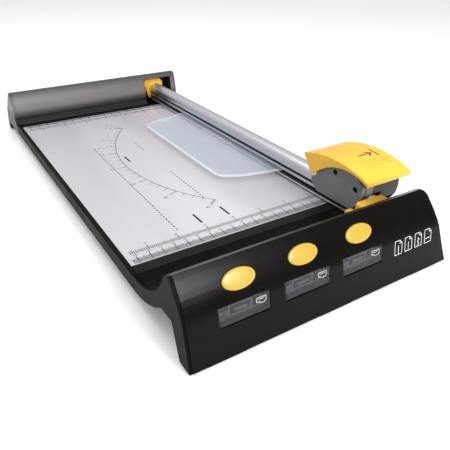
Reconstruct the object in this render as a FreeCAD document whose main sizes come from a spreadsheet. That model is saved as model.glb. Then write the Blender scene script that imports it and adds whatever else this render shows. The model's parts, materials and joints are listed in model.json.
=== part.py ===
import FreeCAD, Part
import os
import re
import Sketcher
from FreeCAD import Vector, Placement, Rotation

# Rotary paper trimmer, millimetres.
# Frame: +X right, +Y away from the user, +Z up, origin under the middle of the whole machine.
# A silver bed lies between a glossy front housing and a matt rear housing. An aluminium rail runs
# front to back over the bed's right edge, and the cutting head slides along it.

doc = FreeCAD.newDocument("rotary_paper_trimmer")
sheet = doc.addObject("Spreadsheet::Sheet", "dims")

DIMENSIONS = {
    "overall": {"half_width": 112, "half_length": 250, "pad_height": 1.2, "wall": 2.2, "gap": 0.35},
    "bed": {"bed_left": -108, "bed_right": 85.7, "bed_near": -160, "bed_far": 171, "bed_top": 22,
            "bed_sheet": 1.5, "slab_bottom": 10, "slab_right": 106, "slab_near": -172,
            "slab_far": 186, "slab_skin": 3, "slab_rim": 4, "cover_thick": 1.6, "trim_near": -170.6},
    "cutting strip": {"cut_line": 91, "strip_left": 88, "strip_right": 95, "strip_bottom": 20,
                      "strip_top": 21.9, "strip_near": -178, "strip_far": 178, "strip_groove": 1.4,
                      "groove_depth": 0.9},
    "front housing": {"foot_y": -250, "knee_y": -244.7, "knee_z": 31.9, "face_radius": 88,
                      "crest_y": -229.4, "crest_z": 58, "ramp_top_y": -222.5, "ramp_top_z": 54.3,
                      "ramp_end_z": 23.4, "ramp_radius": 50, "belly_y": -174.6, "belly_radius": 74,
                      "ledge_y": -215.5, "ledge_z": 26.5, "leg_top_y": -229.5, "leg_foot_y": -237.3,
                      "bay_left": 56, "right_top": 96.8, "right_foot": 111.5, "right_radius": 445,
                      "right_corner": 7, "end_thick": 2.3},
    "rear housing": {"rear_toe_y": 186.3, "rear_toe_z": 20.6, "rear_low_y": 191.3, "rear_low_z": 25.3,
                     "rear_face_radius": 56, "rear_high_y": 196.8, "rear_high_z": 54.6,
                     "ridge_near_y": 199, "ridge_far_y": 203, "ridge_z": 56,
                     "slope_y": 237.9, "slope_z": 27.6, "heel_z": 4.2, "rear_foot_y": 240,
                     "rear_right": 104, "recess_left": 58.5, "recess_right": 97, "recess_top": 50.8},
    "rail": {"rail_near": -199, "rail_far": 201, "lip_left": 67.5, "rail_bottom": 23.6,
             "lip_top": 25.4, "band_left": 69.5, "slot_top": 28.3, "slot_depth": 75, "band_top": 31,
             "groove_top": 32.9, "groove_left": 72.5, "tube_left": 70.5, "tube_right": 87.5,
             "tube_top": 43, "tube_corner": 5, "tube_wall": 1.8},
    "rail ends": {"cap_near": -218, "cap_left": 60, "cap_right": 88, "cap_top": 42,
                  "cap_tongue_far": -189, "cap_tongue_right": 66.4, "cap_tongue_top": 31,
                  "rear_cap_left": 61.5, "rear_cap_foot": 67, "rear_cap_top": 49.6, "rear_cap_far": 214,
                  "rear_cap_lip": 43.8, "rear_cap_shoulder": 84,
                  "front_post_near": -213.5, "front_post_far": -204, "front_room_near": -215,
                  "front_room_far": -202.5, "rear_post_near": 203.5, "rear_post_far": 211,
                  "rear_room_near": 202.5, "rear_room_far": 212, "rear_spring_radius": 3.7,
                  "screw_proud": 1.2,
                  "post_left": 73, "post_right": 85, "post_top": 33, "pin_radius": 3,
                  "pin_top": 38.6, "spring_top": 38, "spring_radius": 4.4, "spring_wire": 0.5},
    "paper guard": {"guard_left": 12, "guard_near": -95, "guard_far": 108, "guard_bottom": 25.8,
                    "guard_thick": 2, "guard_inner": 74.4, "guard_corner_x": 26,
                    "guard_corner_y": 10.5, "guard_side_y": 23, "guard_bevel": 1},
    "cutting head": {"head_left": 67, "head_plate": 69.2, "head_seam": 79, "head_right": 108,
                     "head_wall": 2.4, "head_low": 28.5, "drum_low": 25.2, "head_front": -197.2,
                     "head_rear": -145.2, "head_heel": -139.7, "head_heel_z": 39.4,
                     "head_y": -166, "head_arc": 90, "head_rear_top_y": -150.5,
                     "head_rear_top_z": 58.2, "head_front_top_y": -187, "head_front_top_z": 57.8,
                     "head_chin_y": -188, "head_chin_radius": 22,
                     "screw_a_y": -166.8, "screw_a_z": 53.1, "screw_b_y": -190, "screw_b_z": 46.8,
                     "screw_radius": 2.3, "boss_radius": 3.6, "saddle_top": 48,
                     "saddle_near": -186, "saddle_far": -148, "hook_low": 31.35,
                     "hook_high": 32.55, "head_spring_x": 84, "head_spring_radius": 3.5,
                     "head_spring_wire": 0.45, "head_spring_top": 62},
    "press cap": {"cap_side_left": 64.4, "cap_side_right": 112, "cap_skirt": 2.2, "cap_front": -203.8,
                  "cap_back": -129.8, "cap_edge_z": 58, "cap_lip_z": 54.3, "cap_arc": 104,
                  "nose_y": -141.2, "nose_z": 43, "notch_y": -147.4, "notch_z": 46,
                  "skirt_arc": 49, "cap_roof": 2, "stem_top": 63.8, "stem_half": 4},
    "blade": {"blade_radius": 13, "blade_thick": 0.4, "blade_z": 37.8, "hub_radius": 5.5,
              "hub_far": 92.6, "bore_radius": 2.55, "axle_radius": 2.5, "axle_left": 90.1,
              "axle_right": 103.4, "cartridge_left": 93, "cartridge_right": 102,
              "cartridge_half": 13, "cartridge_drop": 11.5, "cartridge_rise": 15},
    "storage": {"bay_pitch": 47.5, "first_bay_x": -71.5, "door_half": 17.6, "door_height": 11.4,
                "door_front": 1.2, "door_back": 1, "hinge_y": -244.93, "hinge_z": 23.38,
                "hinge_round": 1.1, "hinge_pin": 0.8, "hinge_bore": 0.85, "hinge_reach": 19.4,
                "face_tilt": 9.8, "tray_left": -95, "tray_right": 47, "tray_near": -240.2,
                "tray_far": -209.3, "tray_low": 20.4, "tray_high": 32.8, "pocket_half": 16.6,
                "pocket_low": 22, "pocket_high": 31.9, "spare_half": 15.2, "spare_radius": 13.7,
                "spare_low": 23, "spare_high": 31.4, "spare_face_high": 31.6, "spare_near": -239.4},
    "release buttons": {"button_y": -237.5, "button_z": 46.4, "button_tilt": 59.6,
                        "button_half_wide": 11.4, "button_half_tall": 6.4, "button_proud": 0.9,
                        "button_round": 0.8, "button_body": 5, "flange_reach": 0.9,
                        "flange_thick": 1.4, "button_travel": 2.5},
}

FUNCTION_NAMES = {"sin", "cos", "sqrt", "abs"}


def fill_sheet():
    row = 1
    for group, cells in DIMENSIONS.items():
        sheet.set(f"A{row}", group)
        row += 1
        for alias, value in cells.items():
            sheet.set(f"A{row}", alias)
            sheet.set(f"B{row}", str(value))
            sheet.setAlias(f"B{row}", alias)
            row += 1
    doc.recompute()


fill_sheet()


def dim(text):
    """Put the sheet's name before every alias in a formula."""
    def prefix(match):
        word = match.group(0)
        return word if word in FUNCTION_NAMES else "dims." + word
    return re.sub(r"[a-z][a-z_]*", prefix, str(text))


def num(text):
    return float(sheet.evalExpression(dim(text)))


def bind(obj, prop, text):
    obj.setExpression(prop, dim(text))


def place(obj, x="0", y="0", z="0", tilt=None, turn_to=None):
    """Bind an object's position, and its tilt about X in degrees or the direction its Z faces."""
    if tilt is not None:
        obj.Placement = Placement(Vector(), Rotation(Vector(1, 0, 0), num(tilt)))
        bind(obj, "Placement.Rotation.Angle", tilt)
    if turn_to is not None:
        obj.Placement = Placement(Vector(), Rotation(Vector(0, 0, 1), turn_to))
    bind(obj, "Placement.Base.x", x)
    bind(obj, "Placement.Base.y", y)
    bind(obj, "Placement.Base.z", z)
    return obj


def box(name, low, high):
    """A block from its low corner to its high corner, both given as formulas."""
    block = doc.addObject("Part::Box", name)
    for prop, a, b in zip(("Length", "Width", "Height"), low, high):
        bind(block, prop, f"({b})-({a})")
    return place(block, *low)


def cylinder(name, radius, length, base, direction=Vector(0, 0, 1)):
    rod = doc.addObject("Part::Cylinder", name)
    bind(rod, "Radius", radius)
    bind(rod, "Height", length)
    return place(rod, *base, turn_to=direction)


def fuse(name, parts):
    joined = doc.addObject("Part::MultiFuse", name)
    joined.Shapes = parts
    return joined


def cut(name, base, *tools):
    """Take each tool away in turn. The last cut has the piece's own name."""
    result = base
    for index, tool in enumerate(tools, 1):
        step = doc.addObject("Part::Cut", name if index == len(tools) else f"{name}_cut_{index}")
        step.Base = result
        step.Tool = tool
        result = step
    return result


def common(name, first, second):
    result = doc.addObject("Part::Common", name)
    result.Base = first
    result.Tool = second
    return result


def group(name, parts):
    """Several separate solids kept in one sub-part."""
    compound = doc.addObject("Part::Compound", name)
    compound.Links = parts
    return compound


def origin_plane(body, role):
    for feature in body.Origin.OriginFeatures:
        if feature.Role == role:
            return feature
    raise ValueError(role)


def bulge_point(start, end, radius):
    """Middle of the arc from start to end. A positive radius bulges to the left of the path."""
    chord = end - start
    half = chord.Length / 2
    sagitta = abs(radius) - (radius ** 2 - half ** 2) ** 0.5
    side = Vector(-chord.y, chord.x, 0).normalize()
    return (start + end) * 0.5 + side * (sagitta if radius > 0 else -sagitta)


def draw(sketch, outline):
    """Closed outline of (x, y) or (x, y, arc radius of the stretch that starts here)."""
    spots = [Vector(num(point[0]), num(point[1]), 0) for point in outline]
    rules = []
    ends = []
    for index, point in enumerate(outline):
        start = spots[index]
        end = spots[(index + 1) % len(spots)]
        if len(point) == 3:
            radius = num(point[2])
            middle = bulge_point(start, end, radius)
            # Sketch arcs run anticlockwise, so a stretch that bulges left is drawn backwards.
            if radius > 0:
                edge = sketch.addGeometry(Part.Arc(end, middle, start), False)
                ends.append((edge, 2, 1))
            else:
                edge = sketch.addGeometry(Part.Arc(start, middle, end), False)
                ends.append((edge, 1, 2))
            rules.append(("Radius", edge, abs(radius), f"abs({point[2]})"))
        else:
            edge = sketch.addGeometry(Part.LineSegment(start, end), False)
            ends.append((edge, 1, 2))
    constraints = []
    for index, (edge, start_end, _) in enumerate(ends):
        previous, _, last_end = ends[index - 1]
        constraints.append(Sketcher.Constraint("Coincident", previous, last_end, edge, start_end))
    formulas = []
    for index, (edge, start_end, _) in enumerate(ends):
        for kind, axis in (("DistanceX", 0), ("DistanceY", 1)):
            formulas.append((len(constraints), outline[index][axis]))
            value = spots[index][axis]
            constraints.append(Sketcher.Constraint(kind, -1, 1, edge, start_end, value))
    for kind, edge, value, formula in rules:
        formulas.append((len(constraints), formula))
        constraints.append(Sketcher.Constraint(kind, edge, value))
    sketch.addConstraint(constraints)
    for index, formula in formulas:
        sketch.setExpression(f"Constraints[{index}]", dim(formula))


def pad(name, role, outline, start, end):
    """A PartDesign body padded from an outline, between two places along the plane's axis."""
    body = doc.addObject("PartDesign::Body", name)
    sketch = body.newObject("Sketcher::SketchObject", name + "_sketch")
    sketch.AttachmentSupport = [(origin_plane(body, role), "")]
    sketch.MapMode = "FlatFace"
    # The XZ plane faces -Y, so a pad along +Y starts at its far end.
    bind(sketch, "AttachmentOffset.Base.z", f"-({end})" if role == "XZ_Plane" else start)
    draw(sketch, outline)
    feature = body.newObject("PartDesign::Pad", name + "_pad")
    feature.Profile = sketch
    bind(feature, "Length", f"({end})-({start})")
    body.Tip = feature
    return body


def rounded(name, base, radius, wanted, kind="Part::Fillet"):
    """Round, or chamfer, the edges of a finished shape whose middle point passes the test."""
    doc.recompute()
    size = num(radius)
    picked = []
    for number, edge in enumerate(base.Shape.Edges, 1):
        middle = edge.valueAt((edge.FirstParameter + edge.LastParameter) / 2)
        if wanted(edge, middle):
            picked.append((number, size, size))
    result = doc.addObject(kind, name)
    result.Base = base
    result.Edges = picked
    return result


def coil_spring(name, radius, wire, x, y, low, high, turns):
    """A compression spring standing on its low end, with a round wire."""
    helix = doc.addObject("Part::Helix", name + "_path")
    bind(helix, "Radius", radius)
    bind(helix, "Height", f"({high})-({low})-2*({wire})")
    bind(helix, "Pitch", f"(({high})-({low})-2*({wire}))/{turns}")
    ring = doc.addObject("Part::Circle", name + "_wire")
    bind(ring, "Radius", wire)
    ring.Placement = Placement(Vector(), Rotation(Vector(1, 0, 0), 90))
    bind(ring, "Placement.Base.x", radius)
    spring = doc.addObject("Part::Sweep", name)
    spring.Sections = [ring]
    spring.Spine = (helix, ["Edge1"])
    spring.Solid = True
    spring.Frenet = True
    return place(spring, x, y, f"({low})+({wire})")


# Outlines that several pieces share, as (y, z) pairs.
FRONT_FACE = [("foot_y", "pad_height"), ("knee_y", "knee_z", "face_radius"), ("crest_y", "crest_z"),
              ("ramp_top_y", "ramp_top_z")]
RAMP_CURVE = FRONT_FACE[:3] + [("ramp_top_y", "ramp_top_z", "-ramp_radius"),
                               ("slab_near", "ramp_end_z")]
LEG_OUTLINE = [("ledge_y", "ledge_z"), ("leg_top_y", "ledge_z"), ("leg_foot_y", "pad_height")]
REAR_BACK = [("ridge_far_y", "ridge_z"), ("slope_y", "slope_z"), ("half_length", "heel_z"),
             ("half_length", "pad_height")]
REAR_FACE = [("rear_toe_y", "rear_toe_z"), ("rear_low_y", "rear_low_z", "rear_face_radius"),
             ("rear_high_y", "rear_high_z"), ("ridge_near_y", "ridge_z")]


def slanted_end(name, inset):
    """Everything left of the front housing's leaning right end, moved left by the inset."""
    outline = [("-half_width-9", "-1"), (f"right_foot-({inset})", "-1", "right_radius"),
               (f"right_top-({inset})", "crest_z-right_corner", f"({inset})-right_corner"),
               ("right_top-right_corner", f"crest_z-({inset})"),
               ("right_top-right_corner", "crest_z+2"), ("-half_width-9", "crest_z+2")]
    return pad(name, "XZ_Plane", outline, "-half_length-2", "slab_near")


def front_left_end():
    outline = RAMP_CURVE + [("slab_near", "slab_bottom"), ("belly_y", "slab_bottom", "belly_radius")]
    return pad("front_left_end", "YZ_Plane", outline + LEG_OUTLINE, "-half_width",
               "-half_width+end_thick")


def bay_centres():
    return [(tag, f"first_bay_x+{index}*bay_pitch")
            for index, tag in enumerate(("left", "middle", "right"))]


def door_swing(name, x, length, radius):
    """A rod along the hinge line of a storage door."""
    return cylinder(name, radius, length, (x, "hinge_y", "hinge_z"), Vector(1, 0, 0))


def oval(name, x, reach, low, high):
    """An oval block square to the front face, its low and high ends measured outwards."""
    ring = doc.addObject("Part::Ellipse", name + "_outline")
    bind(ring, "MajorRadius", f"button_half_wide+({reach})")
    bind(ring, "MinorRadius", f"button_half_tall+({reach})")
    block = doc.addObject("Part::Extrusion", name + "_block")
    block.Base = ring
    block.DirMode = "Custom"
    block.Dir = Vector(0, 0, 1)
    block.Solid = True
    bind(block, "LengthFwd", f"({high})-({low})")
    bind(block, "Placement.Base.z", low)
    mover = doc.addObject("Part::Compound", name)
    mover.Links = [block]
    return place(mover, x, "button_y", "button_z", tilt="button_tilt")


def front_housing():
    inner = [("ramp_top_y-1.4", "ramp_top_z-2"), ("crest_y+wall", "crest_z-3.2", "2-face_radius"),
             ("knee_y+wall", "knee_z"), ("foot_y+wall", "pad_height")]
    skin = pad("front_skin", "YZ_Plane", FRONT_FACE + inner, "-half_width+end_thick", "half_width")
    skin = common("front_skin_trimmed", skin, slanted_end("front_skin_end", "end_thick"))
    tools = []
    for tag, x in bay_centres():
        window = doc.addObject("Part::Box", f"window_{tag}")
        bind(window, "Length", "2*door_half+0.8")
        bind(window, "Width", "10")
        bind(window, "Height", "door_height+hinge_round+0.8")
        place(window, f"{x}-door_half-0.4", "hinge_y-5*cos(face_tilt)-(hinge_round+0.4)*sin(face_tilt)",
              "hinge_z+5*sin(face_tilt)-(hinge_round+0.4)*cos(face_tilt)", tilt="-face_tilt")
        tools.append(window)
        tools.append(door_swing(f"hinge_socket_{tag}", f"{x}-hinge_reach-0.4", "2*hinge_reach+0.8",
                                "hinge_bore"))
        tools.append(oval(f"button_hole_{tag}", x, "0.45", "-8", "8"))
    return cut("front_housing", skin, *tools)


def front_ramp():
    """The concave slope down to the bed, and the walls of the bay that the rail's end stands in."""
    skin = pad("ramp_skin", "YZ_Plane",
               [("ramp_top_y", "ramp_top_z", "-ramp_radius"), ("slab_near", "ramp_end_z"),
                ("slab_near", "bed_top-1.4"), ("slab_near-wall", "bed_top-1.4"),
                ("slab_near-wall", "ramp_end_z-wall", "ramp_radius+wall"),
                ("ramp_top_y-1", "ramp_top_z-2.6")],
               "-half_width+end_thick", "bay_left")
    side = pad("bay_side", "YZ_Plane",
               [("ramp_top_y", "ramp_top_z", "-ramp_radius"), ("slab_near", "ramp_end_z"),
                ("slab_near", "bed_top"), ("ramp_top_y", "bed_top")], "bay_left-wall", "bay_left")
    back = box("bay_back", ("bay_left-wall", "ramp_top_y-wall", "ledge_z+2.1"),
               ("right_top+3", "ramp_top_y", "ramp_top_z-2.7"))
    whole = fuse("front_ramp_whole", [skin, side, back])
    return common("front_ramp", whole, slanted_end("bay_back_end", "end_thick+0.1"))


def front_underside():
    outline = [("belly_y", "slab_bottom", "belly_radius")] + LEG_OUTLINE
    outline += [("leg_foot_y-1.8", "pad_height"), ("leg_top_y-1.8", "ledge_z+2"),
                ("ledge_y-0.6", "ledge_z+2", "2-belly_radius"), ("belly_y", "slab_bottom+2")]
    skin = pad("belly_skin", "YZ_Plane", outline, "-half_width+end_thick", "slab_right-3")
    skin = common("belly_skin_trimmed", skin, slanted_end("belly_end", "end_thick+0.1"))
    room = box("tray_room", ("tray_left-0.3", "tray_near-1", "tray_low-0.3"),
               ("tray_right+0.3", "tray_far+0.3", "tray_high+0.3"))
    bay = box("bay_room", ("bay_left-wall-0.1", "ramp_top_y-wall-0.1", "slab_bottom-5"),
              ("half_width", "slab_near+9", "ramp_top_z"))
    return cut("front_underside", skin, room, bay)


def front_right_end():
    outline = FRONT_FACE + [("ramp_top_y", "ledge_z")] + LEG_OUTLINE[1:]
    slab = pad("right_end_slab", "YZ_Plane", outline, "right_top-12", "half_width")
    leaning = common("right_end_leaning", slab, slanted_end("right_end_outside", "0"))
    return cut("front_right_end", leaning, slanted_end("right_end_inside", "end_thick"))


def base_frame():
    slab = box("slab", ("-half_width", "slab_near", "slab_bottom"),
               ("slab_right", "slab_far", "bed_top-bed_sheet"))
    rim = box("slab_left_rim", ("-half_width", "slab_near", "slab_bottom"),
              ("bed_left-0.1", "slab_far", "bed_top"))
    shoulder = box("slab_shoulder", ("bed_right+0.1", "slab_near", "slab_bottom"),
                   ("slab_right", "slab_far", "bed_top"))
    bay = box("bay_floor", ("bay_left+0.1", "ramp_top_y+0.1", "slab_bottom"),
              ("slab_right", "slab_near", "bed_top"))
    whole = fuse("slab_whole", [slab, rim, shoulder, bay])
    hollow = box("slab_hollow", ("-half_width+slab_rim", "slab_near+slab_rim", "slab_bottom"),
                 ("slab_right-slab_rim", "slab_far-slab_rim", "bed_top-bed_sheet-slab_skin"))
    channel = box("strip_channel", ("strip_left-0.05", "strip_near-0.05", "strip_bottom"),
                  ("strip_right+0.05", "strip_far+0.05", "bed_top"))
    return cut("base_frame", whole, hollow, channel)


def underside_cover():
    plate = box("cover_plate", ("-half_width+slab_rim+0.2", "slab_near+slab_rim+0.2", "slab_bottom"),
                ("slab_right-slab_rim-0.2", "slab_far-slab_rim-0.2", "slab_bottom+cover_thick"))
    ribs = []
    for index in range(5):
        x = f"-half_width+34+{index}*38"
        ribs.append(box(f"cover_rib_{index}", (x, "slab_near+12", "slab_bottom"),
                        (f"{x}+2", "slab_far-12", "bed_top-bed_sheet-slab_skin-0.2")))
    return fuse("underside_cover", [plate] + ribs)


def bed_plate():
    return box("bed_plate", ("bed_left", "bed_near", "bed_top-bed_sheet"),
               ("bed_right", "bed_far", "bed_top"))


def bed_front_trim():
    return box("bed_front_trim", ("bed_left", "trim_near", "bed_top-bed_sheet"),
               ("bed_right", "bed_near-0.3", "bed_top-0.1"))


def cutting_strip():
    bar = box("strip_bar", ("strip_left", "strip_near", "strip_bottom"),
              ("strip_right", "strip_far", "strip_top"))
    groove = box("strip_groove_tool",
                 ("cut_line-strip_groove/2-blade_thick/2", "strip_near-1", "strip_top-groove_depth"),
                 ("cut_line+strip_groove/2-blade_thick/2", "strip_far+1", "strip_top+1"))
    return cut("cutting_strip", bar, groove)


def rear_housing():
    inner = [("half_length-wall", "pad_height"), ("half_length-wall", "heel_z+0.6"),
             ("slope_y-1.8", "slope_z-1.6"), ("ridge_far_y-0.9", "ridge_z-2.4"),
             ("ridge_near_y+1.2", "ridge_z-2.4"),
             ("rear_high_y+2.5", "rear_high_z-0.8", "2.4-rear_face_radius"),
             ("rear_low_y+2.4", "rear_low_z-1"),
             ("rear_toe_y+3.4", "rear_toe_z")]
    skin = pad("rear_skin", "YZ_Plane", REAR_FACE + REAR_BACK + inner, "-half_width+end_thick",
               "rear_right-end_thick")
    recess = box("rear_recess", ("recess_left", "rear_toe_y-2", "rear_toe_z-1"),
                 ("recess_right", "ridge_near_y+0.9", "recess_top"))
    return cut("rear_housing", skin, recess)


def rear_end(name, start):
    outline = REAR_FACE + REAR_BACK + [("rear_foot_y", "pad_height"), ("rear_foot_y", "slab_bottom"),
                                       ("rear_toe_y", "slab_bottom")]
    return pad(name, "YZ_Plane", outline, start, f"{start}+end_thick")


def rear_underside():
    outline = [("slab_far+0.2", "slab_bottom"), ("rear_foot_y", "slab_bottom"),
               ("rear_foot_y", "pad_height"), ("half_length-wall-0.2", "pad_height"),
               ("half_length-wall-0.2", "pad_height+2"), ("rear_foot_y+2", "pad_height+2"),
               ("rear_foot_y+2", "slab_bottom+2"), ("slab_far+0.2", "slab_bottom+2")]
    return pad("rear_underside", "YZ_Plane", outline, "-half_width+end_thick+0.1",
               "rear_right-end_thick-0.1")


def rubber_feet():
    pads = []
    for index, x in enumerate(("-half_width+12", "-14", "right_foot-38")):
        pads.append(box(f"front_pad_{index}", (x, "foot_y+0.6", "0"),
                        (f"{x}+28", "leg_foot_y-0.4", "pad_height")))
    for index, x in enumerate(("-half_width+12", "rear_right-40")):
        pads.append(box(f"rear_pad_{index}", (x, "rear_foot_y+0.6", "0"),
                        (f"{x}+28", "half_length-0.8", "pad_height")))
    return group("rubber_feet", pads)


def base_screws():
    screws = []
    spots = [(x, y) for x in ("-half_width+20", "slab_right-20") for y in ("-150", "0", "150")]
    for index, (x, y) in enumerate(spots):
        head = cylinder(f"base_screw_head_{index}", "3", "1.6", (x, y, "slab_bottom-1.6"))
        slot = box(f"base_screw_slot_{index}", (f"{x}-2.2", f"{y}-0.4", "slab_bottom-2"),
                   (f"{x}+2.2", f"{y}+0.4", "slab_bottom-0.9"))
        screws.append(cut(f"base_screw_{index}", head, slot))
    return group("base_screws", screws)


def rail_extrusion():
    """Round-topped tube over a flat lip, with a slot for the guard and a groove for the head."""
    outline = [("lip_left", "rail_bottom"), ("lip_left", "lip_top"), ("slot_depth", "lip_top"),
               ("slot_depth", "slot_top"), ("band_left", "slot_top"), ("band_left", "band_top"),
               ("groove_left", "band_top"), ("groove_left", "groove_top"),
               ("tube_left", "groove_top"), ("tube_left", "tube_top-tube_corner", "9.2"),
               ("(tube_left+tube_right)/2-1", "tube_top", "11.5"),
               ("tube_right", "tube_top-tube_corner-2.2"), ("tube_right", "groove_top"),
               ("tube_right-2", "groove_top"), ("tube_right-2", "band_top"), ("tube_right", "band_top"),
               ("tube_right", "rail_bottom")]
    bar = pad("rail_bar", "XZ_Plane", outline, "rail_near", "rail_far")
    bore = pad("rail_bore", "XZ_Plane",
               [("groove_left+tube_wall", "groove_top+0.4"),
                ("groove_left+tube_wall", "tube_top-tube_corner", "8"),
                ("(tube_left+tube_right)/2", "tube_top-tube_wall", "9"),
                ("tube_right-tube_wall-2", "tube_top-tube_corner-2"),
                ("tube_right-tube_wall-2", "groove_top+0.4")], "rail_near-1", "rail_far+1")
    lower = box("rail_lower_bore", ("slot_depth+2.2", "rail_near-1", "lip_top"),
                ("tube_right-2", "rail_far+1", "slot_top"))
    seat = box("rail_strip_seat", ("slot_depth-2", "rail_near-1", "rail_bottom-1"),
               ("slot_depth+2", "rail_far+1", "rail_bottom+0.8"))
    return cut("rail_extrusion", bar, bore, lower, seat)


def rail_grip_strip():
    return box("rail_grip_strip", ("slot_depth-2", "rail_near+2", "rail_bottom-0.2"),
               ("slot_depth+2", "rail_far-2", "rail_bottom+0.8"))


def post_and_pin(name, near, far, floor):
    middle = f"({near}+({far}))/2"
    block = box(name + "_block", ("post_left", near, floor), ("post_right", far, "post_top"))
    pin = cylinder(name + "_pin", "pin_radius", "pin_top-post_top+1",
                   ("(post_left+post_right)/2", middle, "post_top-1"))
    return fuse(name, [block, pin])


def hollow_end_cap(name, outer, near, far):
    """Cut a rail end's cavity for its post and spring, and the bore for the post's pin."""
    cavity = box(name + "_cavity", ("post_left-1.5", near, "rail_bottom-3"),
                 ("post_right+1.2", far, "spring_top"))
    bore = cylinder(name + "_bore", "pin_radius+0.3", "2.4",
                    ("(post_left+post_right)/2", f"({near}+({far}))/2", "spring_top-0.5"))
    return cut(name, outer, cavity, bore)


def rail_front_cap():
    block = box("front_cap_block", ("cap_left", "cap_near", "rail_bottom"),
                ("cap_right", "rail_near", "cap_top"))
    soft = rounded("front_cap_soft", block, "2.5",
                   lambda edge, m: m.z > num("cap_top") - 0.1 and m.y < num("rail_near") - 1)
    tongue = box("front_cap_tongue", ("cap_left", "rail_near-1", "rail_bottom"),
                 ("cap_tongue_right", "cap_tongue_far", "cap_tongue_top"))
    whole = fuse("front_cap_whole", [soft, tongue])
    return hollow_end_cap("rail_front_cap", whole, "front_room_near", "front_room_far")


def rail_rear_cap():
    """Collar over the rail's far end: its top slopes back and its left side tapers down."""
    side = [("rail_far", "rail_bottom"), ("rail_far", "rear_cap_lip"),
            ("rail_far+3.2", "rear_cap_top"), ("rail_far+4.5", "rear_cap_top-1.4"),
            ("rear_cap_far", "rear_cap_top-9.4"), ("rear_cap_far", "rail_bottom")]
    block = pad("rear_cap_block", "YZ_Plane", side, "rear_cap_left", "cap_right")
    front = [("rear_cap_foot", "rail_bottom"), ("rear_cap_left", "rear_cap_lip-2"),
             ("rear_cap_left+1.5", "rear_cap_top+0.1"), ("rear_cap_shoulder", "rear_cap_top+0.1"),
             ("cap_right", "rear_cap_lip"), ("cap_right", "rail_bottom")]
    taper = pad("rear_cap_taper", "XZ_Plane", front, "rail_far-1", "rear_cap_far+1")
    whole = common("rear_cap_whole", block, taper)
    return hollow_end_cap("rail_rear_cap", whole, "rear_room_near", "rear_room_far")


def rail_cap_screws():
    screws = []
    spots = (("front", "cap_left+5.5", "cap_near-screw_proud"),
             ("rear", "cap_left+14", "rear_cap_far"))
    for tag, x, near in spots:
        for side, z in (("low", "rail_bottom+4"), ("high", "rail_bottom+12.5")):
            screws.append(cylinder(f"{tag}_screw_{side}", "1.6", "screw_proud", (x, near, z),
                                   Vector(0, 1, 0)))
    return group("rail_cap_screws", screws)


def paper_guard():
    """Clear plate clipped in the rail's slot, with clipped corners and a bevelled outer edge."""
    outline = [("guard_inner", "guard_near+0.6"), ("guard_inner", "guard_far-0.6"),
               ("lip_left", "guard_far-0.6"),
               ("guard_corner_x+4", "guard_far-guard_corner_y+1"),
               ("guard_left+3.5", "guard_far-guard_side_y+6"), ("guard_left", "guard_far-guard_side_y-2"),
               ("guard_left", "guard_near+guard_side_y+2"),
               ("guard_left+3.5", "guard_near+guard_side_y-6"),
               ("guard_corner_x+4", "guard_near+guard_corner_y-1"), ("lip_left", "guard_near+0.6")]
    plate = pad("guard_plate", "XY_Plane", outline, "guard_bottom", "guard_bottom+guard_thick")
    top = num("guard_bottom+guard_thick")
    return rounded("paper_guard", plate, "guard_bevel",
                   lambda edge, m: m.z > top - 0.1 and m.x < num("lip_left") - 1, "Part::Chamfer")


def head_outline(low, inset):
    """Side view of the head as (y, z), pulled in all round by the inset."""
    return [("head_chin_y+4", f"{low}+({inset})"),
            ("head_heel-7.8", f"{low}+({inset})"),
            (f"head_heel-3.4-({inset})*0.8", f"{low}+3+({inset})*0.8"),
            (f"head_heel-({inset})", f"{low}+6.8+({inset})*0.4"),
            (f"head_heel-({inset})", f"head_heel_z-({inset})*0.5"),
            (f"head_rear-({inset})", f"head_heel_z+2-({inset})*0.5"),
            (f"head_rear-({inset})", "50"),
            (f"head_rear_top_y-({inset})*0.3", f"head_rear_top_z-({inset})", f"({inset})-head_arc"),
            (f"head_front_top_y+({inset})*0.3", f"head_front_top_z-({inset})", f"({inset})-13"),
            (f"head_front+({inset})", "50"),
            (f"head_front+({inset})", "46", f"({inset})-head_chin_radius"),
            (f"head_chin_y+({inset})*0.7", f"{low}+1.5+({inset})")]


def rail_clearance():
    return box("head_rail_clearance", ("head_plate+0.1", "head_front-5", "drum_low-5"),
               ("cap_right+0.6", "head_heel+5", "tube_top+gap"))


def head_left_shell():
    outer = pad("left_shell_outer", "YZ_Plane", head_outline("head_low", "0"), "head_left", "head_seam")
    inner = pad("left_shell_inner", "YZ_Plane", head_outline("head_low", "head_wall"), "head_plate",
                "head_seam+1")
    cup = cut("left_shell_cup", outer, inner, rail_clearance())
    hook = box("left_hook", ("head_plate-0.2", "saddle_near", "hook_low"),
               ("groove_left-gap", "saddle_far", "hook_high"))
    additions = [cup, hook]
    holes = []
    for tag in ("a", "b"):
        spot = ("head_plate-0.2", f"screw_{tag}_y", f"screw_{tag}_z")
        additions.append(cylinder(f"screw_boss_{tag}", "boss_radius", "head_seam-head_plate+0.2", spot,
                                  Vector(1, 0, 0)))
        mouth = ("head_left-1", f"screw_{tag}_y", f"screw_{tag}_z")
        holes.append(cylinder(f"screw_mouth_{tag}", "screw_radius+0.2", "3", mouth, Vector(1, 0, 0)))
        holes.append(cylinder(f"screw_shank_{tag}", "1.2", "20", mouth, Vector(1, 0, 0)))
    return cut("head_left_shell", fuse("left_shell_full", additions), *holes)


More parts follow.
